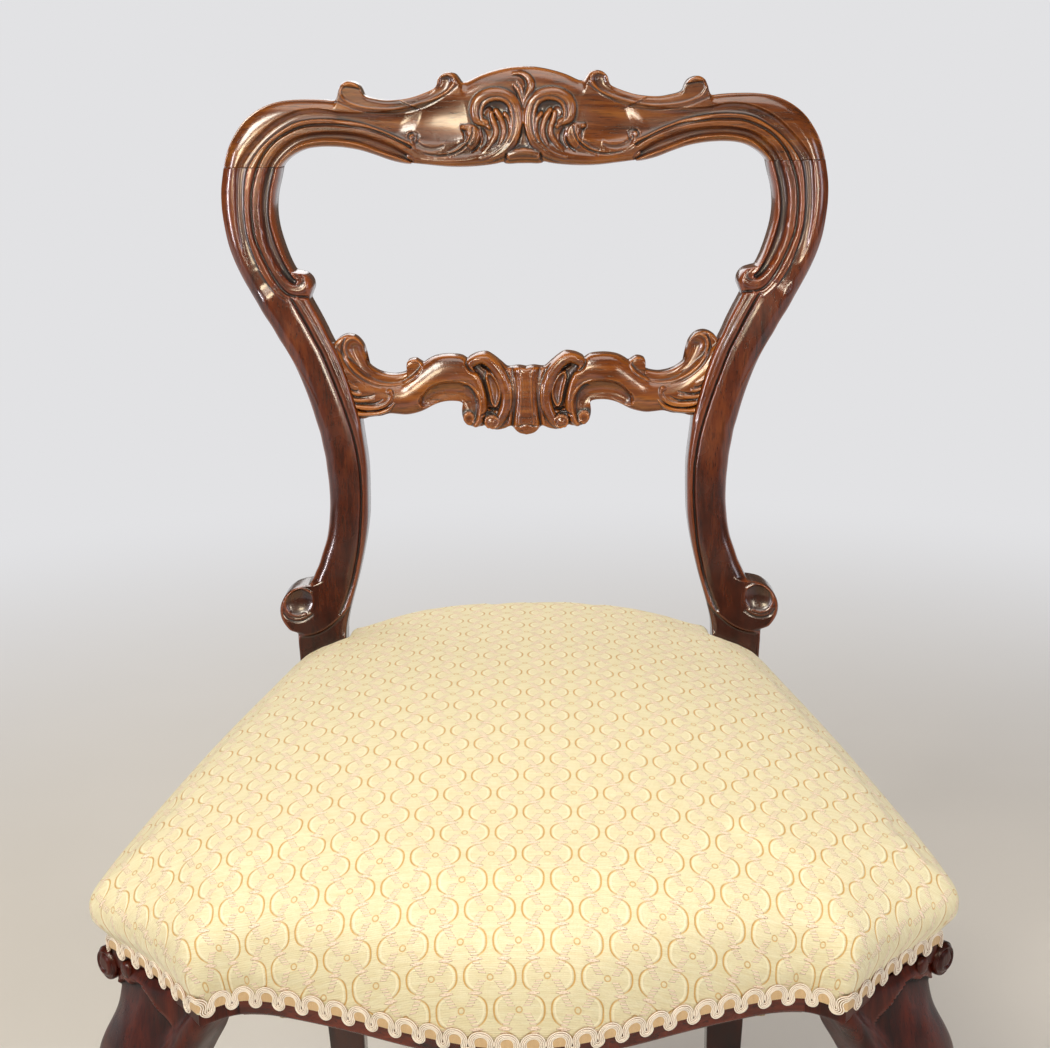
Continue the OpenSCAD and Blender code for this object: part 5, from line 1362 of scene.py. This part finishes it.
def tube(path, radius, sides=8):
    """Points and faces of a round tube along a path."""
    ahead = unit(np.gradient(path, axis=0))
    side = np.zeros_like(ahead)
    last = np.array([0, 0, 1.0]) if abs(ahead[0][2]) < 0.9 else np.array([1.0, 0, 0])
    for k in range(len(path)):
        s = last - ahead[k] * (last @ ahead[k])
        last = s / np.linalg.norm(s)
        side[k] = last
    other = np.cross(ahead, side)
    angle = np.linspace(0, 2 * math.pi, sides, endpoint=False)
    ring = (np.cos(angle)[None, :, None] * side[:, None] + np.sin(angle)[None, :, None] * other[:, None])
    faces = grid_faces(len(path), sides, wrap_n=True, flip=True)
    faces += [list(range(sides)), [(len(path) - 1) * sides + j for j in range(sides - 1, -1, -1)]]
    return (path[:, None] + ring * radius).reshape(-1, 3), faces


def join(parts):
    points, faces, base = [], [], 0
    for p, f in parts:
        points.append(p)
        faces += [[i + base for i in q] for q in f]
        base += len(p)
    return np.vstack(points), faces


loop_big, loop_small = 5.05, 2.2


def meander(pitch, steps):
    """One turn of the braid's middle line: a wide loop above and a tighter one below."""
    big, small = loop_big, loop_small
    rise = math.sqrt(max((big + small) ** 2 - (pitch / 2) ** 2, 1))
    lean = math.degrees(math.atan2(rise, pitch / 2))
    pts = [(big * math.cos(math.radians(a)), rise / 2 + big * math.sin(math.radians(a)))
           for a in np.linspace(180 + lean, -lean, steps)[:-1]]
    pts += [(pitch / 2 + small * math.cos(math.radians(a)), -rise / 2 + small * math.sin(math.radians(a)))
            for a in np.linspace(180 - lean, 360 + lean, steps)]
    return np.array(pts)


near, loop_pitch, cord_radius = 2 * play + cover_t, 13.5, 0.41
last = sum(plan_steps[:3])
stop_y = rear_y - 0.8
edge = np.vstack([half_plan[:last + 1, [0, 1, 3]], [side_x(stop_y), stop_y, back_braid_z]])
edge_out = np.vstack([outs[:last + 1], outs[last - 1]])
edge = np.vstack([edge[:0:-1] * [-1, 1, 1], edge])
edge_out = np.vstack([edge_out[:0:-1] * [-1, 1], edge_out])


def braid(name, line, outward, node):
    run = run_of(line)
    total = run[-1]
    loops = max(1, round(total / loop_pitch))
    pitch = total / loops
    turn = meander(pitch, 15)
    base = np.vstack([turn[:-1] + [pitch * k, 0] for k in range(loops)] + [turn[-1:] + [pitch * (loops - 1), 0]])
    # Centre the loops in the braid's height
    base[:, 0] += pitch / 2
    base[:, 1] -= (base[:, 1].max() + base[:, 1].min()) / 2
    normal = unit(np.gradient(base, axis=0))
    normal = np.stack([-normal[:, 1], normal[:, 0]], 1)

    def on_edge(flat, lift):
        t = np.clip(flat[:, 0], 0, total)
        p = np.stack([np.interp(t, run, line[:, k]) for k in range(3)], 1)
        o = np.stack([np.interp(t, run, outward[:, k]) for k in range(2)], 1)
        p[:, :2] += unit(o) * lift[:, None]
        p[:, 2] += flat[:, 1]
        return p

    parts, cord_shades = [], []
    for strand in range(4):
        flat = base + normal * (strand - 1.5) * 0.9
        wave = 0.12 * np.sin(np.arange(len(flat)) * 0.9 + strand * 2.1)
        lift = near + 1.15 + wave - 0.25 * (abs(strand - 1.5) > 1)
        path = on_edge(flat, lift)
        parts.append(tube(path, cord_radius))
        # Painted shade: each cord darkens on its sides and on its inner side, between its neighbours, and stays light
        # along its outer crown
        o = np.stack([np.interp(flat[:, 0], run, outward[:, k]) for k in range(2)], 1)
        offset = parts[-1][0].reshape(-1, 8, 3)[..., :2] - path[:, None, :2]
        height = np.sum(offset * unit(o)[:, None], -1) / cord_radius
        cord_shades.append(np.clip(0.85 - height, 0, 1).ravel())
    cords = declare(new_object(name, *join(parts)), cord_mat, "gimp", node)
    point_layer(cords, "hollow_shade", np.concatenate(cord_shades))
    # A dark seam shows between the cords, and a patch of ribbed tape fills each upper loop
    band = []
    for share in np.linspace(-1, 1, 5):
        band.append(on_edge(base + normal * share * 1.5, np.full(len(base), near + (0.5 if abs(share) < 1 else 0.1))))
    patches = [(np.array(band).reshape(-1, 3), grid_faces(5, len(base)))]
    u = np.linspace(1.45 - loop_big, loop_big - 1.45, 19)
    high = np.sqrt(np.clip((loop_big - 1.4) ** 2 - u ** 2, 0, None))
    middle = base[np.argmax(base[:turn.shape[0], 1])]
    for k in range(loops):
        rows = []
        for share in np.linspace(0, 1, 7):
            v = mix(-2.4, middle[1] - loop_big + high, share)
            flat = np.column_stack([middle[0] + pitch * k + u, v])
            ribs = 0.2 * np.abs(np.sin(math.pi * u / 1.05)) + 0.1 * math.sin(share * 3)
            rows.append(on_edge(flat, near + 0.75 + ribs))
        patches.append((np.array(rows).reshape(-1, 3), grid_faces(7, len(u), flip=True)))
    declare(new_object(name + "_tape", *join(patches)), tape_mat, "gimp")


def braid_look(name, light, dark, twist):
    n = Nodes(name)
    at = n.place()
    fine = n.noise(at, 2600.0, 3.0)
    twill = n.value("ShaderNodeTexWave", 1, Vector=at, Scale=twist, Distortion=1.5, Detail=2.0)
    dirt = n.noise(at, 60.0, 3.0)
    tone = twill * 0.5 + fine * 0.5
    colour = n.blend(n.level(tone, 0.2, 0.8), dark, light)
    colour = n.blend(n.level(dirt, 0.5, 0.8, 0.0, 0.25), colour, tuple(c * 0.6 for c in dark))
    # Painted shade between the cords
    shade_between_cords = n.mark("hollow_shade")
    colour = n.blend(n.level(shade_between_cords, 0.2, 0.75, 0.0, 0.9), colour, srgb(166, 118, 92))
    return n.finish(Base_Color=colour, Roughness=0.7, Sheen_Weight=0.2, Specular_IOR_Level=0.3,
                    Normal=n.bump(tone, 0.5, 0.0002))


cord_mat = braid_look("braid_ivory", srgb(255, 250, 238), srgb(232, 218, 196), 620.0)
tape_mat = braid_look("braid_tape", srgb(226, 198, 154), srgb(178, 142, 98), 500.0)
braid("braid_front", edge, edge_out, "gimp_front")
back_line = np.linspace([-notch_x, back_face_y, back_braid_z], [notch_x, back_face_y, back_braid_z], 60)
braid("braid_back", back_line, np.tile([0.0, 1.0], (60, 1)), "gimp_back")

# UNDER THE COVER


def put_in(name, parts, look, slot, nodes, sharp=None):
    """A piece of one or more closed skins."""
    obj = new_object(name, *join(parts))
    if sharp:
        obj.data.set_sharp_from_angle(angle=math.radians(sharp))
    return declare(obj, look, slot, *nodes)


def skin(rings, low=None, high=None):
    """Rings closed at each end by a point or a face."""
    rings = np.asarray(rings, float)
    m, n = rings.shape[:2]
    pts, faces = rings.reshape(-1, 3), grid_faces(m, n, wrap_n=True, flip=True)
    for at, ring in ((low, 0), (high, m - 1)):
        loop = [ring * n + j for j in range(n)]
        if ring:
            loop = loop[::-1]
        if at is None:
            faces.append(loop)
        else:
            pts = np.vstack([pts, [at]])
            faces += [[a, b, len(pts) - 1] for a, b in zip(loop, loop[1:] + loop[:1])]
    return pts, faces


def canvas_ring(row, lift):
    base = plan[:, :2] - outs * 5
    at = crown_centre + (base - crown_centre) * row[0]
    return np.column_stack([at, np.full(count, rail_top_z + 0.1 + 19 * row[1] + lift)])


canvas_rows = smooth_rows([[1, 0], [.93, 0], [.82, .45], [.7, .9], [.55, 1]], 4)
canvas_rows[:, 1] = np.clip(canvas_rows[:, 1], 0, 1)
inner_rows = [[.4, 1], [.25, 1], [.1, 1]]
flat_rows = list(canvas_rows) + inner_rows


def pulled(ring, row):
    """Small drags in the canvas between the tacks and the springs."""
    a = np.arange(count) * 2 * math.pi / count
    drag = 0.25 * np.sin(a * 37) * math.exp(-((row[0] - .86) / .07) ** 2)
    return ring + np.outer(drag, [0, 0, 1])


tip_z, canvas_t = rail_top_z + 0.1 + 19, 1.4
under = [canvas_ring(r, 0) for r in flat_rows[::-1]]
over = [pulled(canvas_ring(r, canvas_t), r) for r in flat_rows]
canvas = put_in("canvas_hessian", [skin(under + over, [*crown_centre, tip_z], [*crown_centre, tip_z + canvas_t])],
                canvas_mat, "hessian", ["spring_canvas"])
ring = under[-1]
cut = 0.5 * abs(np.sum(ring[:, 0] * np.roll(ring[:, 1], -1) - np.roll(ring[:, 0], -1) * ring[:, 1])) * 1e-6

# The pad of hair keeps clear of the cover where that is drawn over a corner
corners = [(vee_x, vee_y), (corner_x, corner_y), (side_x(notch_y), notch_y + 6), (notch_x, back_face_y)]
near_vee = np.max([np.exp(-((np.abs(plan[:, 0]) - a) ** 2 + (plan[:, 1] - b) ** 2) / 200) for a, b in corners], axis=0)
drawn_in = play + 0.9 + 1.5 * near_vee
pad_rows = [r for r in smooth_rows(seat_rows[4:], 3) if r[1] > .62]
pad_rings = [canvas_ring(r, canvas_t + play) for r in flat_rows[::-1]]
pad_rings += [seat_ring(plan, outs, r, drawn_in) for r in pad_rows]
swollen = []
for k, r in enumerate(pad_rings):
    grown = r.copy()
    if k >= len(flat_rows):
        share = (k - len(flat_rows)) / len(pad_rows)
        grown[:, :2] += outs * (5.0 * near_corner * math.cos(math.pi / 2 * min(1, share / 0.35)))[:, None]
    swollen.append(grown)
pad = put_in("stuffing_hair", [skin(swollen, [*crown_centre, tip_z + canvas_t + play],
                                    [*crown_centre, crown_z(crown_centre) - play])],
             hair_mat, "horsehair", ["stuffing"])


def strip(path, wide_way, wide, thick):
    """A flat band along a path."""
    path = np.asarray(path, float)
    u = np.array([-1, -.94, -.5, 0, .5, .94, 1]) * wide / 2
    lift = np.array([.25, .5, .5, .5, .5, .5, .25]) * thick
    rings = []
    for k, p in enumerate(path):
        top = p + wide_way * u[:, None] + np.array([0, 0, 1.0]) * lift[:, None]
        low = p + wide_way * u[::-1, None] - np.array([0, 0, 1.0]) * lift[::-1, None]
        rings.append(np.vstack([top, low]))
    return skin(rings)


web_w, web_t, web_lap, web_pitch = 50.0, 1.6, 14.0, 72.0
web_z = rail_low_z - 0.1
web_xs = [(i - 1.5) * web_pitch for i in range(4)]
web_ys = np.linspace(corner_y + 24 + 4 + web_w / 2, rear_y - 4 - web_w / 2, 5)
long_parts, cross_parts, tacks = [], [], []
long_area = cross_area = 0.0


def lathe(x, y, rows, sides):
    """A turned piece, its rows each a radius and a height."""
    a = np.linspace(0, 2 * math.pi, sides, endpoint=False)
    return skin([[(x + r * math.cos(t), y + r * math.sin(t), z) for t in a] for r, z in rows])


def tack(x, y, z):
    return lathe(x, y, [(3.1, z), (3.1, z - .35), (2.7, z - .8), (1.7, z - 1.15), (.6, z - 1.3)], 14)


for x in web_xs:
    low = max(front_y(abs(x + k * web_w / 2) / vee_x) for k in (-1, 1)) + rail_t - web_lap
    high = rear_y + 6 + web_lap
    ys = np.linspace(low, high, 60)
    long_parts.append(strip([(x, y, web_z - web_t / 2) for y in ys], np.array([1.0, 0, 0]), web_w, web_t))
    long_area += web_w * (high - low) * 1e-6
    for k in (-1.5, -.5, .5, 1.5):
        tacks += [tack(x + k * 12, y, web_z - web_t) for y in (low + 5 + abs(k) * 1.5, high - 5 - abs(k) * 1.5)]
for j, y in enumerate(web_ys):
    reach = side_x(y + web_w / 2) - rail_t * math.hypot(1, (corner_x - rear_out) / seat_len) + web_lap
    ramp, off = (web_pitch - web_w) / 2 - play, web_t + play
    knots = [(-reach, 0.0)]
    for i, x in enumerate(web_xs):
        side, h = (-off if (i + j) % 2 == 0 else off), web_w / 2 + play
        left = x - h - ramp
        knots += [(max(left, 0.1 - reach) if i == 0 else left, 0.0), (x - h, side), (x + h, side), (x + h + ramp, 0.0)]
    knots = np.array(knots + [(reach, 0.0)])
    xs = np.linspace(-reach, reach, 150)
    zs = np.interp(xs, knots[:, 0], knots[:, 1])
    cross_parts.append(strip([(x, y, web_z - web_t / 2 + z) for x, z in zip(xs, zs)], np.array([0, -1.0, 0]),
                             web_w, web_t))
    cross_area += web_w * 2 * reach * 1e-6
    for k in (-1.5, -.5, .5, 1.5):
        tacks += [tack(side * (reach - 5 - abs(k) * 1.5), y + k * 12, web_z - web_t) for side in (-1, 1)]
webs_long = put_in("webs_long", long_parts, web_mat, "webbing", ["webbing_lengthwise"], 40)
webs_cross = put_in("webs_cross", cross_parts, web_mat, "webbing", ["webbing_crosswise"], 40)
put_in("webbing_tacks", tacks, screw_mat, "screw_steel", [])

for node, x, y in (("spring_front_left", -66, -88), ("spring_front_right", 66, -88), ("spring_centre", 0, 2),
                   ("spring_rear_left", -66, 92), ("spring_rear_right", 66, 92)):
    s = np.linspace(0, 1, 181)
    r = mix(22, 34, (2 * s - 1) ** 2)
    a = 2 * math.pi * 5 * s
    path = np.stack([x + r * np.cos(a), y + r * np.sin(a), mix(375.7 + .2, 438.9, s)], 1)
    put_in("coil_" + node[7:], [tube(path, 1.75, 9)], wire_mat, "spring_wire", [node])

# LEGS AND RAILS

leg_rows = [[0, .73, 1.03, -.25, .68], [.012, .71, 1.06, 0, .74], [.03, .69, 1.08, .2, .8], [.06, .69, 1.08, .05, .76],
            [.09, .72, 1.05, -.55, .62], [.13, .75, 1.02, -1.3, .5], [.2, .76, 1, -1.75, .45],
            [.31, .75, 1.01, -1.6, .5], [.42, .72, 1.04, -1.1, .57], [.53, .68, 1.07, -.45, .66],
            [.63, .62, 1.1, .2, .76], [.71, .55, 1.14, .65, .85], [.77, .48, 1.17, .92, .94], [.83, .4, 1.17, 1, 1],
            [.87, .31, 1.13, .85, 1], [.91, .2, 1.08, .5, .94], [.94, .12, 1.06, .3, .86], [.965, .05, 1.04, .16, .78],
            [.985, .02, 1.01, .02, .7], [1, .04, .96, -.2, .62]]
leg_section = [[.12, .9], [0, .34], [.02, .1], [.09, .05], [.17, .09], [.24, .07], [.36, 0], [.5, -.03], [.66, -.03],
               [.82, .01], [.94, .09], [1, .3], [1, .66], [.86, .94], [.6, 1], [.38, 1], [.12, .9], [0, .34], [.02, .1]]


def leg_point(c, n, z):
    c, n, z = np.broadcast_arrays(c, n, z)
    return np.stack([vee_x + along[0] * c + out_dir[0] * n, vee_y + along[1] * c + out_dir[1] * n, z], -1)


def carve_knee(r):
    flange = drawn(3, 386, 6.7, 382, 15, 372.5, 26.5, 361, 39.3, 343.5, 50, 322, 57, 300, 62, 276)
    r.beside(flange, 26, 1, [2.2, 2.2, 1.8, 1], 2.5, 22)
    r.groove(flange, 2.0, 1.3)
    # The band that runs in under the braid from the scroll, over the bead in its eye
    arch = drawn(
        110, 364, 98, 363, 88, 364.5, 81.5, 369.5, 76, 372.5, 70, 373, 62, 377, 55, 377, 42, 370.5, 34, 365, 28, 360)
    r.beside(arch, 34, 1, [2.2, 3.0, 3.4, 3.4, 2.8, 1], 1.2, 30)


def boss(c, z, proud, length, radius, scroll):
    """A round end with a soft edge; a scroll is cut into the large ones."""
    a = np.linspace(0, 2 * math.pi, 44, endpoint=False)
    rings = []
    for depth, r in [(-length, radius), (-length * .5, radius), (-3.2, radius)]:
        rings.append(leg_point(c + r * np.cos(a), proud + depth, z + r * np.sin(a)))
    for r in radius * np.array([1, .985, .95, .9, .84, .77, .7, .62, .54, .46, .38, .3, .22, .14, .06]):
        n = proud - 3.0 * (1 - math.sqrt(max(1 - (r / radius) ** 4, 0)))
        cut = 0
        if scroll:
            turn = (a + 2.4) % (2 * math.pi) / (2 * math.pi)
            for at in (.36 + .42 * turn, .78 + .3 * turn):
                cut = np.maximum(cut, 1.3 * np.clip(1 - np.abs(r - at * radius) / 1.5, 0, 1))
            n = n - cut
        rings.append(leg_point(c + r * np.cos(a), n, z + r * np.sin(a)))
    return skin(rings, leg_point(c, proud - length, z), leg_point(c, proud, z))


def glide(x, y):
    return lathe(x, y, [(11, 0), (11, 8)], 40)


def turned(parts):
    """The same parts on the other side."""
    return [(mirrored(p), [f[::-1] for f in faces]) for p, faces in parts]


leg_top, show_edge = 384.5, 13.5
section = smooth_rows(leg_section, 5)[5:-10]
heights = np.concatenate([np.arange(2, 270, 5.0), np.arange(270, leg_top, 1.4), [leg_top]])
fine_rows = smooth_rows(leg_rows, 8)
fine_z = np.maximum(fine_rows[:, 0], 0) * leg_top
r1, r2, r3, r4 = (np.interp(heights, fine_z, fine_rows[:, k])[:, None] for k in (1, 2, 3, 4))
r2 = r2 - 0.035 * np.exp(-((heights - 345) / 24) ** 2)[:, None]
c = cant_l * mix(r1, r2, section[None, :, 0])
n = 13 * r3 - section[None, :, 1] * r4 * 48
z = np.broadcast_to(heights[:, None], c.shape)
carving = Relief(c, z)
carve_knee(carving)
faced = ease((.42 - section[:, 1]) / .2)[None] * ease((c - cant_l * r1) / 3) * ease((cant_l * r2 - c) / 3)
lift = carving.heights() * faced * ease((leg_top - z) / 1.5)
knee = skin(leg_point(c, n + lift, z))
# Painted shade in the knee's hollows, and its lighter ridges
knee_hollow_shade, knee_pale_ridges = (m.ravel() for m in marks(-lift, 4))
head_low = gimp_z - gimp_w / 2
head_in_x = side_x(corner_y + 24) - rail_t * 1.42
outline = [(vee_x * s, front_y(s)) for s in np.linspace(.88, 1, 7)[:-1]] + [cant_point(s) for s in
                                                                            np.linspace(0, 1, 13)]
outline = np.array(outline + [(side_x(corner_y + 24), corner_y + 24), (head_in_x, corner_y + 24),
                              (vee_x * .88, front_y(.88) + rail_t * 1.42)])
# Its lower front edge carries on the rounding of the front rail
soft_edge = [(3 - 3 * math.sin(t), 3 - 3 * math.cos(t)) for t in np.radians([0, 22, 45, 68, 90])]
inward = np.zeros_like(outline)
inward[:6] = (0, 1)
inward[6:19] = -out_dir
low_line = np.full(len(outline), head_low)
low_line[:7] = [braid_front_z(s) - show_edge for s in np.linspace(.88, 1, 7)]
low_line[7:10] = mix(low_line[6], head_low, np.array([.3, .6, .9]))
head = skin([np.column_stack([outline + inward * d, np.where(np.any(inward != 0, 1), low_line + u, head_low +
                                                             min(u, .5))]) for d, u in soft_edge] +
            [np.column_stack([outline, np.full(len(outline), rail_top_z)])])
scroll_top = gimp_z + corner_rise - gimp_w / 2 - play
mid_foot = leg_point(cant_l * .88, 13 * -.25 - .68 * 24, 0)
leg_parts = [knee, head, boss(cant_l * 1.08, scroll_top - 10, 3, 20, 10, True),
             boss(cant_l * .83, scroll_top - 5.5, 2.4, 20, 5.3, False),
             glide(*mid_foot[:2])]
for name, node, parts in (("leg_carved_right", "front_leg_right", leg_parts),
                          ("leg_carved_left", "front_leg_left", turned(leg_parts))):
    obj = put_in(name, parts, leg_wood, "rosewood", [node], 38)
    rest = np.zeros(len(obj.data.vertices) - len(knee_hollow_shade))
    point_layer(obj, "hollow_shade", np.concatenate([knee_hollow_shade, rest]))
    point_layer(obj, "pale_ridges", np.concatenate([knee_pale_ridges, rest]))
rear_glides = [glide(rear_out - .49 * post_w, rear_y + leg_splay + .4 * post_d)]
for side, parts in (("right", rear_glides), ("left", turned(rear_glides))):
    put_in("glide_rear_" + side, parts, leg_wood, "rosewood", ["stile_" + side], 38)

# The front rail, its show edge rounded
stations = np.linspace(-.88 + .0006, .88 - .0006, 121)
rings = []
for s in stations:
    y, low = front_y(abs(s)), braid_front_z(abs(s)) - show_edge
    ring = [(y + d, low + u) for u, d in soft_edge]
    ring += [(y + 8, low), (y + 9, low + 1), (y + 9.1, rail_low_z), (y + 24, rail_low_z), (y + 24, rail_top_z),
             (y + .6, rail_top_z), (y, rail_top_z - .6)]
    rings.append([(vee_x * s, a, b) for a, b in ring])
put_in("front_rail_moulded", [skin(rings)], rail_wood, "rosewood", ["front_rail"], 40)

# STAGE

pale = srgb(226, 226, 228)
floor_half = 9.0
stage = Nodes("stage_pale")
grain = stage.noise(stage.place(), 3.0, 3.0)
stage.finish(Base_Color=stage.blend(grain, srgb(214, 212, 208), srgb(222, 220, 217)), Roughness=0.95,
             Specular_IOR_Level=0.05)
# Far off, the floor takes on the backdrop's even tone
spot = stage.axes()
reach = stage.math("SQRT", spot[0] ** 2.0 + spot[1] ** 2.0)
glow = stage.add("ShaderNodeEmission", Color=(*pale, 1), Strength=1.0)
both_looks = stage.add("ShaderNodeMixShader", _0=stage.level(reach, 0.7, 2.4, smooth=True),
                       _1=stage.shader.outputs[0], _2=glow.outputs[0])
stage.tree.links.new(both_looks.outputs[0], stage.tree.nodes["Material Output"].inputs[0])
mesh = bpy.data.meshes.new("floor")
mesh.from_pydata([(x * floor_half, y * floor_half, 0) for x, y in ((-1, -1), (1, -1), (1, 1), (-1, 1))], [],
                 [(0, 1, 2, 3)])
floor = bpy.data.objects.new("floor", mesh)
bpy.context.scene.collection.objects.link(floor)
floor.data.materials.append(stage.mat)

# The backdrop is seen bright and lights little
sky = Nodes("studio", world=True)
bpy.context.scene.world = sky.mat
rays = sky.add("ShaderNodeLightPath").outputs
show = sky.math("MAXIMUM", rays["Is Camera Ray"], rays["Is Transmission Ray"])
sky.finish(Color=sky.blend(show, srgb(255, 232, 204), pale), Strength=sky.level(show, 0.0, 1.0, 0.13, 1.0))


def soft_light(name, at, aim, width, height, power, colour=(1, 1, 1), only=None):
    lamp = bpy.data.lights.new(name, "AREA")
    lamp.shape = "RECTANGLE"
    lamp.size, lamp.size_y = width, height
    lamp.energy = power
    lamp.color = colour
    obj = bpy.data.objects.new(name, lamp)
    obj.matrix_world = Matrix.LocRotScale(Vector(at), (Vector(aim) - Vector(at)).to_track_quat("-Z", "Y"), None)
    bpy.context.scene.collection.objects.link(obj)
    obj.visible_diffuse = only != "shine"
    obj.visible_glossy = only != "fill"


soft_light("key", (-1.0, -1.45, 2.5), (0, 0.05, 0.6), 0.9, 0.7, 50, (1.0, 0.92, 0.79))
soft_light("window", (1.9, -1.0, 1.6), (0, 0.1, 0.7), 0.6, 1.2, 12, (0.9, 0.9, 1.0))
soft_light("top", (0.1, -0.2, 2.9), (0, 0, 0.5), 1.6, 1.6, 25, (1.0, 0.95, 0.87))
soft_light("sheen_left", (-0.5, -1.6, 1.65), (0, 0.1, 0.7), 0.5, 0.3, 12, (1.0, 0.84, 0.58), "shine")
soft_light("sheen_right", (0.75, -1.5, 1.5), (0, 0.1, 0.7), 0.12, 0.6, 9, (1.0, 0.88, 0.7), "shine")
soft_light("streak", (-1.5, -0.9, 1.3), (0, 0.15, 0.7), 0.14, 1.0, 22, (0.97, 0.9, 0.95), "shine")
soft_light("low_front", (0.3, -2.2, 0.75), (0, -0.1, 0.4), 1.4, 0.7, 12, (1.0, 0.9, 0.76), "fill")
soft_light("behind", (-0.6, 1.9, 1.5), (0, 0.2, 0.5), 1.2, 1.2, 10, (1.0, 1.0, 1.0))

# CAMERA

pitch, roll, yaw = (math.radians(v) for v in (15.2, 0.85, -1.09))
focal_over_width, eye = 1650 / 1050, (0.021, -1.02446, 0.868)
ahead = np.array([math.sin(yaw) * math.cos(pitch), math.cos(yaw) * math.cos(pitch), -math.sin(pitch)])
across = np.array([math.cos(yaw), -math.sin(yaw), 0])
below = np.cross(ahead, across)
right = across * math.cos(roll) + below * math.sin(roll)
down = -across * math.sin(roll) + below * math.cos(roll)
lens = bpy.data.cameras.new("camera")
lens.sensor_fit = "HORIZONTAL"
lens.sensor_width = 36
lens.lens = focal_over_width * 36
lens.clip_start = 0.01
camera = bpy.data.objects.new("camera", lens)
camera.matrix_world = Matrix([*np.column_stack([right, -down, -ahead, eye]).tolist(), (0, 0, 0, 1)])
bpy.context.scene.collection.objects.link(camera)
bpy.context.scene.camera = camera
bpy.context.scene.view_settings.view_transform = "Standard"
